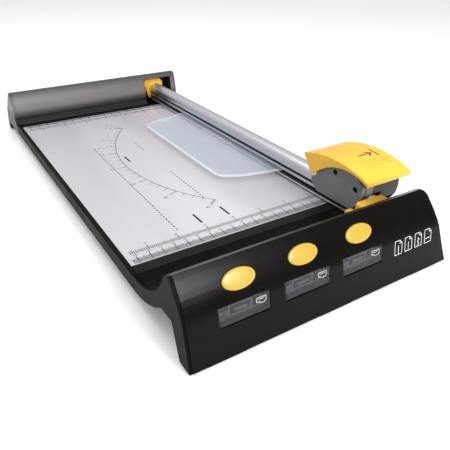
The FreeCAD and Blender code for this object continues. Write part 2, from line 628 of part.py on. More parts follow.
def head_right_shell():
    outer = pad("right_shell_outer", "YZ_Plane", head_outline("drum_low", "0"), "head_seam", "head_right")
    inner = pad("right_shell_inner", "YZ_Plane", head_outline("drum_low-6", "head_wall"), "head_seam-1",
                "head_right-head_wall")
    clearance = box("right_rail_clearance", ("head_seam-3", "head_front-5", "drum_low-5"),
                    ("cap_right+0.6", "head_heel+5", "tube_top+gap"))
    stem_slot = box("stem_slot", ("cartridge_left+0.4", "head_y-stem_half-0.8", "saddle_top+4"),
                    ("cartridge_right-0.4", "head_y+stem_half+0.8", "stem_top"))
    spring_hole = cylinder("spring_hole", "head_spring_radius+0.95", "20",
                           ("head_spring_x", "head_y", "saddle_top+1"))
    return cut("head_right_shell", outer, inner, clearance, stem_slot, spring_hole)


def head_screws():
    screws = []
    for tag in ("a", "b"):
        y, z = f"screw_{tag}_y", f"screw_{tag}_z"
        head = cylinder(f"head_screw_head_{tag}", "screw_radius", "1.2", ("head_left+0.8", y, z),
                        Vector(1, 0, 0))
        shank = cylinder(f"head_screw_shank_{tag}", "1.1", "10", ("head_left+1.9", y, z),
                         Vector(1, 0, 0))
        slot = box(f"head_screw_slot_{tag}", ("head_left+0.5", f"{y}-1.6", f"{z}-0.35"),
                   ("head_left+1.4", f"{y}+1.6", f"{z}+0.35"))
        cross = box(f"head_screw_cross_{tag}", ("head_left+0.5", f"{y}-0.35", f"{z}-1.6"),
                    ("head_left+1.4", f"{y}+0.35", f"{z}+1.6"))
        whole = fuse(f"head_screw_whole_{tag}", [head, shank])
        recess = fuse(f"head_screw_recess_{tag}", [slot, cross])
        screws.append(cut(f"head_screw_{tag}", whole, recess))
    return group("head_screws", screws)


def head_saddle():
    """Runs on the tube's top and hooks under its right side."""
    top = box("saddle_slab", ("head_plate+0.1", "saddle_near", "tube_top+gap"),
              ("cut_line-1", "saddle_far", "saddle_top"))
    leg = box("saddle_leg", ("tube_right+gap", "saddle_near", "hook_low"),
              ("cut_line-1", "saddle_far", "tube_top+gap+1"))
    hook = box("saddle_hook", ("tube_right-2+gap", "saddle_near", "hook_low"),
               ("tube_right+gap+0.5", "saddle_far", "hook_high"))
    seats = []
    for tag in ("a", "b"):
        seats.append(cylinder(f"saddle_boss_room_{tag}", "boss_radius+0.3", "12",
                              ("head_plate-0.5", f"screw_{tag}_y", f"screw_{tag}_z"), Vector(1, 0, 0)))
    return cut("head_saddle", fuse("saddle_whole", [top, leg, hook]), *seats)


def press_cap():
    """Arched yellow cap with side skirts, a front lip, a rear wall and a stem to the cartridge."""
    side = [("cap_front", "cap_lip_z"), ("cap_front", "cap_edge_z", "cap_arc"),
            ("cap_back", "cap_edge_z"), ("nose_y", "nose_z"), ("notch_y", "notch_z", "-skirt_arc")]
    block = pad("cap_block", "YZ_Plane", side, "cap_side_left", "cap_side_right")
    room_outline = [("cap_front+cap_skirt", "cap_lip_z-6"),
                    ("cap_front+cap_skirt", "cap_edge_z-cap_roof+0.6", "cap_arc-cap_roof"),
                    ("cap_back-cap_skirt-1.6", "cap_edge_z-cap_roof+0.6"),
                    ("nose_y-cap_skirt-0.8", "nose_z-1"), ("nose_y-cap_skirt-0.8", "cap_lip_z-20")]
    room = pad("cap_room", "YZ_Plane", room_outline, "cap_side_left+cap_skirt",
               "cap_side_right-cap_skirt")
    # The rear wall straddles the rail, with room for the cap to go down.
    rail_room = box("cap_rail_room", ("lip_left-0.5", "notch_y-3", "nose_z-5"),
                    ("tube_right+0.8", "cap_back+1", "tube_top+3.2"))
    shell = cut("cap_shell", block, room, rail_room)
    stem = box("cap_stem", ("cartridge_left+1", "head_y-stem_half", "blade_z+cartridge_rise"),
               ("cartridge_right-1", "head_y+stem_half", "stem_top"))
    return fuse("press_cap", [shell, stem])


def blade_cartridge():
    """Block beside the blade, with its corners cut off, that holds the axle."""
    low = "blade_z-cartridge_drop"
    high = "blade_z+cartridge_rise"
    outline = [("head_y-cartridge_half", f"{low}+3"), ("head_y-cartridge_half+6", low),
               ("head_y+cartridge_half-6", low), ("head_y+cartridge_half", f"{low}+3"),
               ("head_y+cartridge_half", f"{high}-3"), ("head_y+cartridge_half-3", high),
               ("head_y-cartridge_half+3", high), ("head_y-cartridge_half", f"{high}-3")]
    body = pad("cartridge_body", "YZ_Plane", outline, "cartridge_left", "cartridge_right")
    bore = cylinder("cartridge_bore", "axle_radius", "30", ("cartridge_left-5", "head_y", "blade_z"),
                    Vector(1, 0, 0))
    return cut("blade_cartridge", body, bore)


def blade_axle():
    return cylinder("axle_rod", "axle_radius", "axle_right-axle_left",
                    ("axle_left", "head_y", "blade_z"), Vector(1, 0, 0))


def rotary_blade():
    disc = cylinder("blade_disc", "blade_radius", "blade_thick",
                    ("cut_line-blade_thick", "head_y", "blade_z"), Vector(1, 0, 0))
    hub = cylinder("blade_hub", "hub_radius", "hub_far-cut_line", ("cut_line", "head_y", "blade_z"),
                   Vector(1, 0, 0))
    bore = cylinder("blade_bore", "bore_radius", "20", ("cut_line-8", "head_y", "blade_z"),
                    Vector(1, 0, 0))
    return cut("rotary_blade", fuse("blade_whole", [disc, hub]), bore)


def storage_door(tag, x):
    panel = doc.addObject("Part::Box", f"door_panel_{tag}")
    bind(panel, "Length", "2*door_half")
    bind(panel, "Width", "door_front+door_back")
    bind(panel, "Height", "door_height")
    place(panel, f"{x}-door_half", "hinge_y-door_front*cos(face_tilt)",
          "hinge_z+door_front*sin(face_tilt)", tilt="-face_tilt")
    knuckle = door_swing(f"door_knuckle_{tag}", f"{x}-door_half", "2*door_half", "hinge_round")
    pin = door_swing(f"door_pin_{tag}", f"{x}-hinge_reach", "2*hinge_reach", "hinge_pin")
    return fuse(f"storage_door_{tag}", [panel, knuckle, pin])


def cartridge_tray():
    block = box("tray_block", ("tray_left", "tray_near", "tray_low"),
                ("tray_right", "tray_far", "tray_high"))
    pockets = []
    for tag, x in bay_centres():
        pockets.append(box(f"tray_pocket_{tag}", (f"{x}-pocket_half", "tray_near-1", "pocket_low"),
                           (f"{x}+pocket_half", "tray_far-1", "pocket_high")))
    return cut("cartridge_tray", block, *pockets)


def spare_cartridge(tag, x):
    middle = "spare_near+1.4+spare_radius"
    barrel = cylinder(f"spare_barrel_{tag}", "spare_radius", "spare_high-spare_low",
                      (x, middle, "spare_low"))
    front = box(f"spare_front_{tag}", (f"{x}-spare_half", "spare_near", "pocket_low"),
                (f"{x}+spare_half", "spare_near+1.4", "spare_face_high"))
    shoulder = box(f"spare_shoulder_{tag}", (f"{x}-spare_half", "spare_near+1", "spare_low"),
                   (f"{x}+spare_half", middle, "spare_high"))
    grip = box(f"spare_grip_{tag}", (f"{x}-5.5", "spare_near-0.6", "pocket_low+3"),
               (f"{x}+5.5", "spare_near+1", "spare_face_high-3"))
    whole = fuse(f"spare_whole_{tag}", [barrel, front, shoulder, grip])
    pocket = cylinder(f"spare_pocket_{tag}", "blade_radius+0.3", "3",
                      (x, middle, "spare_high-2"))
    return cut(f"spare_cartridge_{tag}", whole, pocket)


def spare_blades():
    discs = []
    for tag, x in bay_centres():
        discs.append(cylinder(f"spare_blade_{tag}", "blade_radius", "blade_thick",
                              (x, "spare_near+1.4+spare_radius", "spare_high-1.9")))
    return group("spare_blades", discs)


def release_button(tag, x):
    face = doc.addObject("Part::Ellipse", f"button_face_{tag}")
    bind(face, "MajorRadius", "button_half_wide")
    bind(face, "MinorRadius", "button_half_tall")
    column = doc.addObject("Part::Extrusion", f"button_column_{tag}")
    column.Base = face
    column.DirMode = "Custom"
    column.Dir = Vector(0, 0, 1)
    column.Solid = True
    bind(column, "LengthFwd", "button_proud+button_body")
    bind(column, "Placement.Base.z", "-button_body")
    soft = rounded(f"button_soft_{tag}", column, "button_round",
                   lambda edge, m: m.z > num("button_proud") - 0.01)
    rim = doc.addObject("Part::Ellipse", f"button_rim_{tag}")
    # The flange reaches out at the sides only, clear of the housing's curve above.
    bind(rim, "MajorRadius", "button_half_wide+flange_reach")
    bind(rim, "MinorRadius", "button_half_tall-0.2")
    flange = doc.addObject("Part::Extrusion", f"button_flange_{tag}")
    flange.Base = rim
    flange.DirMode = "Custom"
    flange.Dir = Vector(0, 0, 1)
    flange.Solid = True
    bind(flange, "LengthFwd", "flange_thick")
    bind(flange, "Placement.Base.z", "-button_body")
    whole = fuse(f"button_whole_{tag}", [soft, flange])
    button = group(f"release_button_{tag}", [whole])
    return place(button, x, "button_y", "button_z", tilt="button_tilt")


def button_leaf(tag, x):
    """Leaf spring and catch behind a button, fixed at its upper end under the housing's crest."""
    leaf = doc.addObject("Part::Box", f"leaf_strip_{tag}")
    bind(leaf, "Length", "10")
    bind(leaf, "Width", "9.5")
    bind(leaf, "Height", "0.5")
    place(leaf, f"{x}-5", "button_y+(button_body+button_travel+1.6)*sin(button_tilt)-4*cos(button_tilt)",
          "button_z-(button_body+button_travel+1.6)*cos(button_tilt)-4*sin(button_tilt)",
          tilt="button_tilt")
    named = group(f"button_leaf_{tag}", [leaf])
    return named


PIECES = {
    "base_frame": base_frame, "underside_cover": underside_cover, "bed_plate": bed_plate,
    "bed_front_trim": bed_front_trim, "cutting_strip": cutting_strip, "front_housing": front_housing,
    "front_ramp": front_ramp, "front_underside": front_underside, "front_left_end": front_left_end,
    "front_right_end": front_right_end, "cartridge_tray": cartridge_tray,
    "rear_housing": rear_housing, "rear_underside": rear_underside,
    "rear_left_end": lambda: rear_end("rear_left_end", "-half_width"),
    "rear_right_end": lambda: rear_end("rear_right_end", "rear_right-end_thick"),
    "rubber_feet": rubber_feet, "base_screws": base_screws,
    "rail_front_post": lambda: post_and_pin("rail_front_post", "front_post_near", "front_post_far",
                                            "bed_top"),
    "rail_rear_post": lambda: post_and_pin("rail_rear_post", "rear_post_near", "rear_post_far",
                                           "slab_bottom+2"),
    "rail_extrusion": rail_extrusion, "rail_grip_strip": rail_grip_strip,
    "rail_front_cap": rail_front_cap, "rail_rear_cap": rail_rear_cap,
    "rail_cap_screws": rail_cap_screws, "paper_guard": paper_guard,
    "rail_front_spring": lambda: coil_spring("rail_front_spring", "spring_radius", "spring_wire",
                                             "(post_left+post_right)/2",
                                             "(front_post_near+front_post_far)/2", "post_top",
                                             "spring_top", 3),
    "rail_rear_spring": lambda: coil_spring("rail_rear_spring", "rear_spring_radius", "spring_wire",
                                            "(post_left+post_right)/2",
                                            "(rear_post_near+rear_post_far)/2", "post_top",
                                            "spring_top", 3),
    "head_left_shell": head_left_shell, "head_right_shell": head_right_shell,
    "head_screws": head_screws, "head_saddle": head_saddle, "press_cap": press_cap,
    "press_spring": lambda: coil_spring("press_spring", "head_spring_radius", "head_spring_wire",
                                        "head_spring_x", "head_y", "saddle_top", "head_spring_top", 6),
    "blade_cartridge": blade_cartridge, "blade_axle": blade_axle, "rotary_blade": rotary_blade,
    "spare_blades": spare_blades,
}
for bay_tag, bay_x in bay_centres():
    PIECES[f"storage_door_{bay_tag}"] = lambda t=bay_tag, x=bay_x: storage_door(t, x)
    PIECES[f"spare_cartridge_{bay_tag}"] = lambda t=bay_tag, x=bay_x: spare_cartridge(t, x)
    PIECES[f"release_button_{bay_tag}"] = lambda t=bay_tag, x=bay_x: release_button(t, x)
    PIECES[f"button_leaf_{bay_tag}"] = lambda t=bay_tag, x=bay_x: button_leaf(t, x)


def build_all():
    finished = {}
    for node, maker in PIECES.items():
        piece = maker()
        piece.Label = node
        finished[node] = piece
    doc.recompute()
    return finished


def check_all(finished):
    failed = [obj.Label for obj in doc.Objects if "Invalid" in obj.State or "Error" in obj.State]
    if failed:
        raise RuntimeError("failed: " + ", ".join(failed))
    for node, piece in finished.items():
        if piece.Shape.isNull() or not piece.Shape.isValid():
            raise RuntimeError(f"{node} has no sound shape")


finished_pieces = build_all()
check_all(finished_pieces)
os.makedirs("parts", exist_ok=True)
for node_name, sub_part in finished_pieces.items():
    sub_part.Shape.exportStep(f"parts/{node_name}.step")
    print(node_name, len(sub_part.Shape.Solids), round(sub_part.Shape.Volume, 1))
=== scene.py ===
import json
import math
import bmesh
import bpy
from mathutils import Matrix, Vector


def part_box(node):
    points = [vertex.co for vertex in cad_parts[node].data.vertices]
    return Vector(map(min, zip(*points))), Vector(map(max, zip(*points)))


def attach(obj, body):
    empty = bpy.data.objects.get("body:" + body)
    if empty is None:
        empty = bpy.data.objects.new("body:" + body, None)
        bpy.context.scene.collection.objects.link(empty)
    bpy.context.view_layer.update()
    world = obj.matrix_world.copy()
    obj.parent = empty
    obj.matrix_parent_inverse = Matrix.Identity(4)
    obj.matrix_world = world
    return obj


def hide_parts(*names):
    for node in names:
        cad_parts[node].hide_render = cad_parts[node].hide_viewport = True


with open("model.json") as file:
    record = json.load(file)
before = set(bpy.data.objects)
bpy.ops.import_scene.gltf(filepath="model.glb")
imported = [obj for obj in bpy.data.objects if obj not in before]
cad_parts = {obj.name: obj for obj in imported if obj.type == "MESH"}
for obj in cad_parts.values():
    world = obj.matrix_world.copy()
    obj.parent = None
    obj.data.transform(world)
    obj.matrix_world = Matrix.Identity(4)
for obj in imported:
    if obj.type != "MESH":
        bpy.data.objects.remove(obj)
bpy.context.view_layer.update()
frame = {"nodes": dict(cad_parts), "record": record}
NODES = frame["nodes"]
MM = 0.001

# ---------------------------------------------------------------- effects shared by the finishes


def effect(name, inputs, outputs):
    """An empty node group with named sockets, and its entry and exit."""
    group = bpy.data.node_groups.new(name, "ShaderNodeTree")
    for label, kind, value in inputs:
        socket = group.interface.new_socket(label, in_out="INPUT", socket_type="NodeSocket" + kind)
        socket.default_value = value
    for label, kind in outputs:
        group.interface.new_socket(label, in_out="OUTPUT", socket_type="NodeSocket" + kind)
    return group, group.nodes.new("NodeGroupInput"), group.nodes.new("NodeGroupOutput")


def node(tree, kind, links=(), **settings):
    """A shader node with its properties set, and its inputs joined or given plain values."""
    made = tree.nodes.new(kind)
    for prop, value in settings.items():
        setattr(made, prop, value)
    for socket, source in dict(links).items():
        if isinstance(source, bpy.types.NodeSocket):
            tree.links.new(source, made.inputs[socket])
        else:
            made.inputs[socket].default_value = source
    return made


def maths(tree, operation, first, second=0.0, clamp=False):
    return node(tree, "ShaderNodeMath", {0: first, 1: second}, operation=operation,
                use_clamp=clamp).outputs[0]


def spread(tree, value, low, high, to_low=0.0, to_high=1.0):
    """The value moved from one range to another, and held inside it."""
    links = {"Value": value, "From Min": low, "From Max": high, "To Min": to_low, "To Max": to_high}
    return node(tree, "ShaderNodeMapRange", links).outputs["Result"]


def blend_colours(tree, mask, first, second):
    mixer = tree.nodes.new("ShaderNodeMix")
    mixer.data_type = "RGBA"
    for label, kind, source in (("Factor", "VALUE", mask), ("A", "RGBA", first), ("B", "RGBA", second)):
        target = [socket for socket in mixer.inputs if socket.name == label and socket.type == kind][0]
        if isinstance(source, bpy.types.NodeSocket):
            tree.links.new(source, target)
        else:
            target.default_value = source
    return [socket for socket in mixer.outputs if socket.type == "RGBA"][0]


def noise(tree, place, scale, detail=3.0, roughness=0.55):
    links = {"Vector": place, "Scale": scale, "Detail": detail, "Roughness": roughness}
    return node(tree, "ShaderNodeTexNoise", links).outputs["Fac"]


def edge_wear_effect():
    """Mask of outside edges, broken up the way handling rubs them."""
    group, entry, leave = effect("edge_wear", [("Width", "Float", 0.0006), ("Amount", "Float", 0.5)],
                                 [("Mask", "Float")])
    rounded = node(group, "ShaderNodeBevel", {"Radius": entry.outputs["Width"]}, samples=4)
    face = node(group, "ShaderNodeNewGeometry")
    turn = node(group, "ShaderNodeVectorMath", {0: rounded.outputs["Normal"], 1: face.outputs["Normal"]},
                operation="DOT_PRODUCT").outputs["Value"]
    place = node(group, "ShaderNodeTexCoord").outputs["Object"]
    broken = spread(group, noise(group, place, 140.0), 0.35, 0.7)
    edge = spread(group, turn, 0.995, 0.9)
    rubbed = maths(group, "MULTIPLY", edge, maths(group, "MULTIPLY", broken, entry.outputs["Amount"]),
                   clamp=True)
    group.links.new(rubbed, leave.inputs["Mask"])
    return group


def moulded_grain_effect():
    """Fine tooled grain with a slower unevenness under it, for the height of a bump."""
    group, entry, leave = effect("moulded_grain", [("Scale", "Float", 2600.0), ("Waviness", "Float", 0.3)],
                                 [("Height", "Float"), ("Mottle", "Float")])
    place = node(group, "ShaderNodeTexCoord").outputs["Object"]
    fine = noise(group, place, entry.outputs["Scale"], 2.0)
    slow = noise(group, place, 38.0, 3.0)
    height = maths(group, "ADD", fine, maths(group, "MULTIPLY", slow, entry.outputs["Waviness"]))
    group.links.new(height, leave.inputs["Height"])
    group.links.new(spread(group, slow, 0.3, 0.7), leave.inputs["Mottle"])
    return group


def settled_dust_effect():
    """Mask of the thin dust on faces that look up."""
    group, entry, leave = effect("settled_dust", [("Amount", "Float", 0.1)], [("Mask", "Float")])
    face = node(group, "ShaderNodeNewGeometry")
    up = node(group, "ShaderNodeSeparateXYZ", {0: face.outputs["Normal"]}).outputs["Z"]
    place = node(group, "ShaderNodeTexCoord").outputs["Object"]
    specks = spread(group, noise(group, place, 420.0, 5.0, 0.7), 0.46, 0.72)
    patches = spread(group, noise(group, place, 24.0, 2.0), 0.3, 0.75)
    film = maths(group, "MULTIPLY", spread(group, up, 0.4, 0.95), maths(group, "MULTIPLY", specks, patches))
    group.links.new(maths(group, "MULTIPLY", film, entry.outputs["Amount"], True), leave.inputs["Mask"])
    return group


def drawn_lines_effect():
    """Long fine lines, as a die or a belt leaves them, along a direction set by the stretch."""
    group, entry, leave = effect("drawn_lines", [("Stretch", "Vector", (2200.0, 6.0, 2200.0))],
                                 [("Height", "Float"), ("Streak", "Float")])
    place = node(group, "ShaderNodeTexCoord").outputs["Object"]
    scaled = node(group, "ShaderNodeVectorMath", {0: place, 1: entry.outputs["Stretch"]},
                  operation="MULTIPLY").outputs[0]
    lines = noise(group, scaled, 1.0, 4.0, 0.6)
    group.links.new(lines, leave.inputs["Height"])
    group.links.new(spread(group, lines, 0.3, 0.7), leave.inputs["Streak"])
    return group


def eased_edges_effect():
    """Normal that turns gradually over hard edges, as a small moulded radius does."""
    group, entry, leave = effect("eased_edges", [("Radius", "Float", 0.0005)], [("Normal", "Vector")])
    rounded = node(group, "ShaderNodeBevel", {"Radius": entry.outputs["Radius"]}, samples=6)
    group.links.new(rounded.outputs["Normal"], leave.inputs["Normal"])
    return group


# How far the edges of the painted shade and reflection wander, and the height over which the foot's painted
# shade fades, in metres.
SHADE_WANDER = 0.003
FOOT_FADE = 0.006


def painted_shade_and_reflection_effect():
    """Masks of a wall's painted shade at its foot and of a painted reflection band half way up, by height
    in metres.
    """
    group, entry, leave = effect("painted_foot_shade_and_reflection", [("Foot", "Float", 0.0315), ("Reflection Band", "Float", 0.0365),
                                                ("Crest", "Float", 0.052)],
                                 [("Foot", "Float"), ("Reflection Band", "Float")])
    place = node(group, "ShaderNodeTexCoord").outputs["Object"]
    height = node(group, "ShaderNodeSeparateXYZ", {0: place}).outputs["Z"]
    wander = maths(group, "SUBTRACT", noise(group, place, 9.0, 1.0), 0.5)
    height = maths(group, "ADD", height, maths(group, "MULTIPLY", wander, SHADE_WANDER))
    fade = maths(group, "SUBTRACT", entry.outputs["Foot"], FOOT_FADE)
    group.links.new(spread(group, height, fade, entry.outputs["Foot"], 1.0, 0.0), leave.inputs["Foot"])
    rise = spread(group, height, entry.outputs["Foot"], entry.outputs["Reflection Band"])
    fall = spread(group, height, entry.outputs["Reflection Band"], entry.outputs["Crest"], 1.0, 0.0)
    group.links.new(maths(group, "MULTIPLY", rise, fall), leave.inputs["Reflection Band"])
    return group


EDGE_WEAR = edge_wear_effect()
EASED_EDGES = eased_edges_effect()
PAINTED_SHADE_AND_REFLECTION = painted_shade_and_reflection_effect()
MOULDED_GRAIN = moulded_grain_effect()
SETTLED_DUST = settled_dust_effect()
DRAWN_LINES = drawn_lines_effect()


def use(tree, group, **values):
    placed = tree.nodes.new("ShaderNodeGroup")
    placed.node_tree = group
    for label, value in values.items():
        placed.inputs[label].default_value = value
    return placed.outputs


def finish_named(name):
    material = bpy.data.materials.new(name)
    material.use_nodes = True
    tree = material.node_tree
    return material, tree, tree.nodes["Principled BSDF"]


def rgba(colour):
    return (*colour, 1.0)


def join(tree, shader, body, gloss, height, depth, normal=None):
    """Feed a finish's colour, roughness and bump to its shader."""
    bump = node(tree, "ShaderNodeBump", {"Height": height, "Strength": 1.0, "Distance": depth})
    if normal is not None:
        tree.links.new(normal, bump.inputs["Normal"])
    tree.links.new(body, shader.inputs["Base Color"])
    tree.links.new(gloss, shader.inputs["Roughness"])
    tree.links.new(bump.outputs["Normal"], shader.inputs["Normal"])


MOULDING_DUST = (0.55, 0.53, 0.5, 1.0)
METAL_DUST = (0.6, 0.59, 0.57, 1.0)
BRIGHT_METAL = (0.93, 0.93, 0.94, 1.0)
# Share of a tall wall's colour kept in the painted shade at its foot.
PAINTED_FOOT_SHADE = 0.14
WEAR_WIDTH = 0.0005
WORN_GAIN, WORN_LIFT = 1.6, 0.03


def moulding(name, colour, deeper, rough, grain=2600.0, depth=0.00002, waviness=0.3, wear=0.4,
             worn=None, dust=0.08, specular=0.5, metallic=0.0, ior=1.5, eased=0.0, band=None):
    """Moulded plastic: slightly uneven colour and gloss, grain, rubbed edges and thin dust.

    The edges seem to have the radius eased, and a tall wall has a painted reflection band half way up and
    painted shade at its foot.
    """
    material, tree, shader = finish_named(name)
    grain_out = use(tree, MOULDED_GRAIN, Scale=grain, Waviness=waviness)
    worn_mask = use(tree, EDGE_WEAR, Width=WEAR_WIDTH, Amount=wear)["Mask"]
    dust_mask = use(tree, SETTLED_DUST, Amount=dust)["Mask"]
    body = blend_colours(tree, grain_out["Mottle"], rgba(deeper), rgba(colour))
    # The band is a painted reflection, and the dark foot painted shade.
    if band:
        shade = use(tree, PAINTED_SHADE_AND_REFLECTION)
        body = blend_colours(tree, shade["Reflection Band"], body, rgba(band))
        body = blend_colours(tree, shade["Foot"], body, rgba(tuple(c * PAINTED_FOOT_SHADE for c in colour)))
    lighter = worn or tuple(min(1.0, c * WORN_GAIN + WORN_LIFT) for c in colour)
    body = blend_colours(tree, worn_mask, body, rgba(lighter))
    body = blend_colours(tree, dust_mask, body, MOULDING_DUST)
    gloss = spread(tree, grain_out["Mottle"], 0.0, 1.0, rough[0], rough[1])
    gloss = maths(tree, "ADD", gloss, maths(tree, "MULTIPLY", dust_mask, 0.5), clamp=True)
    turned = use(tree, EASED_EDGES, Radius=eased)["Normal"] if eased else None
    join(tree, shader, body, gloss, grain_out["Height"], depth, turned)
    shader.inputs["Specular IOR Level"].default_value = specular
    shader.inputs["Metallic"].default_value = metallic
    shader.inputs["IOR"].default_value = ior
    return material


def metal(name, colour, deeper, rough, stretch, depth=0.000004, dust=0.05, wear=0.3, metallic=1.0):
    """Drawn, ground or brushed metal with lines along its length."""
    material, tree, shader = finish_named(name)
    lines = use(tree, DRAWN_LINES, Stretch=stretch)
    worn_mask = use(tree, EDGE_WEAR, Width=0.0004, Amount=wear)["Mask"]
    dust_mask = use(tree, SETTLED_DUST, Amount=dust)["Mask"]
    body = blend_colours(tree, lines["Streak"], rgba(deeper), rgba(colour))
    body = blend_colours(tree, worn_mask, body, BRIGHT_METAL)
    body = blend_colours(tree, dust_mask, body, METAL_DUST)
    gloss = spread(tree, lines["Streak"], 0.0, 1.0, rough[0], rough[1])
    join(tree, shader, body, gloss, lines["Height"], depth)
    shader.inputs["Metallic"].default_value = metallic
    return material


def clear_sheet(name, colour, alpha_facing, alpha_edge, rough):
    """Clear or smoked moulding that shows more of itself at a glancing angle."""
    material, tree, shader = finish_named(name)
    grain_out = use(tree, MOULDED_GRAIN, Scale=900.0, Waviness=0.5)
    dust_mask = use(tree, SETTLED_DUST, Amount=0.12)["Mask"]
    worn_mask = use(tree, EDGE_WEAR, Width=0.0006, Amount=1.0)["Mask"]
    body = blend_colours(tree, grain_out["Mottle"], rgba(tuple(c * 0.93 for c in colour)), rgba(colour))
    body = blend_colours(tree, dust_mask, body, (0.8, 0.8, 0.8, 1.0))
    glance = node(tree, "ShaderNodeLayerWeight", {"Blend": 0.45}).outputs["Facing"]
    cover = spread(tree, glance, 0.0, 1.0, alpha_facing, alpha_edge)
    cover = maths(tree, "ADD", cover, maths(tree, "MULTIPLY", worn_mask, 0.35), clamp=True)
    gloss = spread(tree, grain_out["Mottle"], 0.0, 1.0, rough[0], rough[1])
    join(tree, shader, body, gloss, grain_out["Height"], 0.000001)
    tree.links.new(cover, shader.inputs["Alpha"])
    return material


FINISH = {
    "black_plastic": moulding("grained_black_moulding", (0.006, 0.0052, 0.0055), (0.0038, 0.0033, 0.0035),
                              (0.42, 0.55), grain=2200.0, depth=0.00003, specular=0.35, ior=1.15,
                              worn=(0.04, 0.038, 0.039), dust=0.012),
    "gloss_black": moulding("gloss_black_moulding", (0.0026, 0.0014, 0.0014), (0.0018, 0.001, 0.001),
                            (0.22, 0.28), grain=900.0, depth=0.000003, waviness=0.9, wear=0.35,
                            worn=(0.05, 0.045, 0.045), dust=0.006, specular=0.22, ior=1.3,
                            eased=0.0005),
    # The rear cowl's paler band is a painted reflection of the bed, and its dark foot painted shade.
    "rear_grey": moulding("satin_anthracite_painted_shade_and_reflection", (0.068, 0.063, 0.066), (0.062, 0.057, 0.06),
                          (0.4, 0.46), grain=2600.0, depth=0.000006, waviness=0.1, specular=0.35,
                          dust=0.01, metallic=0.3, eased=0.0006, band=(0.165, 0.155, 0.16)),
    "trim_grey": moulding("trim_strip_grey", (0.010, 0.0092, 0.0095), (0.007, 0.0065, 0.0067), (0.35, 0.5),
                          specular=0.4, ior=1.2, dust=0.01),
    "strip_plastic": moulding("cutting_strip_plastic", (0.11, 0.11, 0.115), (0.075, 0.075, 0.08),
                              (0.5, 0.65), waviness=1.2, depth=0.00005),
    "rubber": moulding("soft_black_rubber", (0.025, 0.025, 0.025), (0.016, 0.016, 0.016), (0.7, 0.85),
                       grain=1400.0, depth=0.00006, specular=0.25),
    "yellow": moulding("golden_yellow_moulding", (0.84, 0.50, 0.04), (0.79, 0.44, 0.03), (0.22, 0.32),
                       grain=1100.0, depth=0.000008, waviness=0.8, worn=(1.0, 0.78, 0.3), wear=0.5,
                       dust=0.03, specular=0.45, eased=0.0013),
    "head_grey": moulding("satin_head_grey", (0.16, 0.16, 0.165), (0.13, 0.13, 0.135), (0.38, 0.5),
                          grain=2400.0, depth=0.00002, worn=(0.24, 0.24, 0.25), wear=0.4),
    "saddle_nylon": moulding("slippery_black_nylon", (0.07, 0.07, 0.07), (0.05, 0.05, 0.05),
                             (0.35, 0.45)),
    "cartridge_grey": moulding("cartridge_grey_moulding", (0.30, 0.31, 0.32), (0.24, 0.25, 0.26),
                               (0.4, 0.55)),
    "dark_screw": metal("blackened_screw_steel", (0.012, 0.012, 0.016), (0.007, 0.007, 0.009), (0.4, 0.55),
                        (900.0, 900.0, 900.0), wear=0.15),
    "screw_steel": metal("zinc_plated_steel", (0.62, 0.62, 0.63), (0.48, 0.48, 0.5), (0.22, 0.34),
                         (700.0, 700.0, 700.0)),
    "aluminium": metal("anodised_aluminium", (0.67, 0.66, 0.71), (0.57, 0.56, 0.61), (0.25, 0.34),
                       (1500.0, 5.0, 1500.0), depth=0.000006, metallic=0.9),
    "spring_steel": metal("bright_spring_steel", (0.7, 0.71, 0.73), (0.5, 0.51, 0.53), (0.2, 0.3),
                          (300.0, 300.0, 2500.0)),
    "blade_steel": metal("ground_blade_steel", (0.78, 0.79, 0.81), (0.62, 0.63, 0.65), (0.12, 0.22),
                         (1200.0, 60.0, 60.0)),
    "clear_acrylic": clear_sheet("clear_acrylic_guard", (0.5, 0.59, 0.66), 0.13, 0.34, (0.03, 0.08)),
    "smoked_clear": clear_sheet("smoked_window", (0.045, 0.05, 0.055), 0.3, 0.7, (0.1, 0.18)),
}
# Whitish edges of the clear guard: a painted highlight.
GUARD_EDGE_HIGHLIGHT = clear_sheet("guard_edge_painted_highlight", (0.82, 0.88, 0.92), 0.35, 0.8, (0.1, 0.2))
BLACK_CHEEK = moulding("satin_black_cheek", (0.0042, 0.0034, 0.0036), (0.003, 0.0024, 0.0026),
                       (0.34, 0.42), grain=2400.0, depth=0.00001, specular=0.3, ior=1.12,
                       worn=(0.04, 0.037, 0.038), wear=0.4, dust=0.01)
# A darker copy of the head's grey for the drum: painted shade from the cap.
SHADED_DRUM_GREY = moulding("satin_drum_grey_painted_shade", (0.052, 0.051, 0.053), (0.042, 0.041, 0.043), (0.4, 0.5),
                     grain=2400.0, depth=0.00002, worn=(0.1, 0.1, 0.1), wear=0.4, specular=0.12)
# A darker copy of the cap's yellow for the release keys: painted shade.
SHADED_KEY_YELLOW = moulding("release_key_yellow_painted_shade", (0.47, 0.32, 0.034), (0.44, 0.29, 0.028), (0.26, 0.36),
                      grain=1100.0, depth=0.000006, waviness=0.8, worn=(0.8, 0.55, 0.2), wear=0.4,
                      dust=0.02, specular=0.45)
# Darker rail metal for the groove and slot: painted shade in the recesses.
PAINTED_GROOVE_SHADE = metal("groove_painted_shade_metal", (0.17, 0.17, 0.185), (0.11, 0.11, 0.12), (0.45, 0.6),
               (1500.0, 5.0, 1500.0))


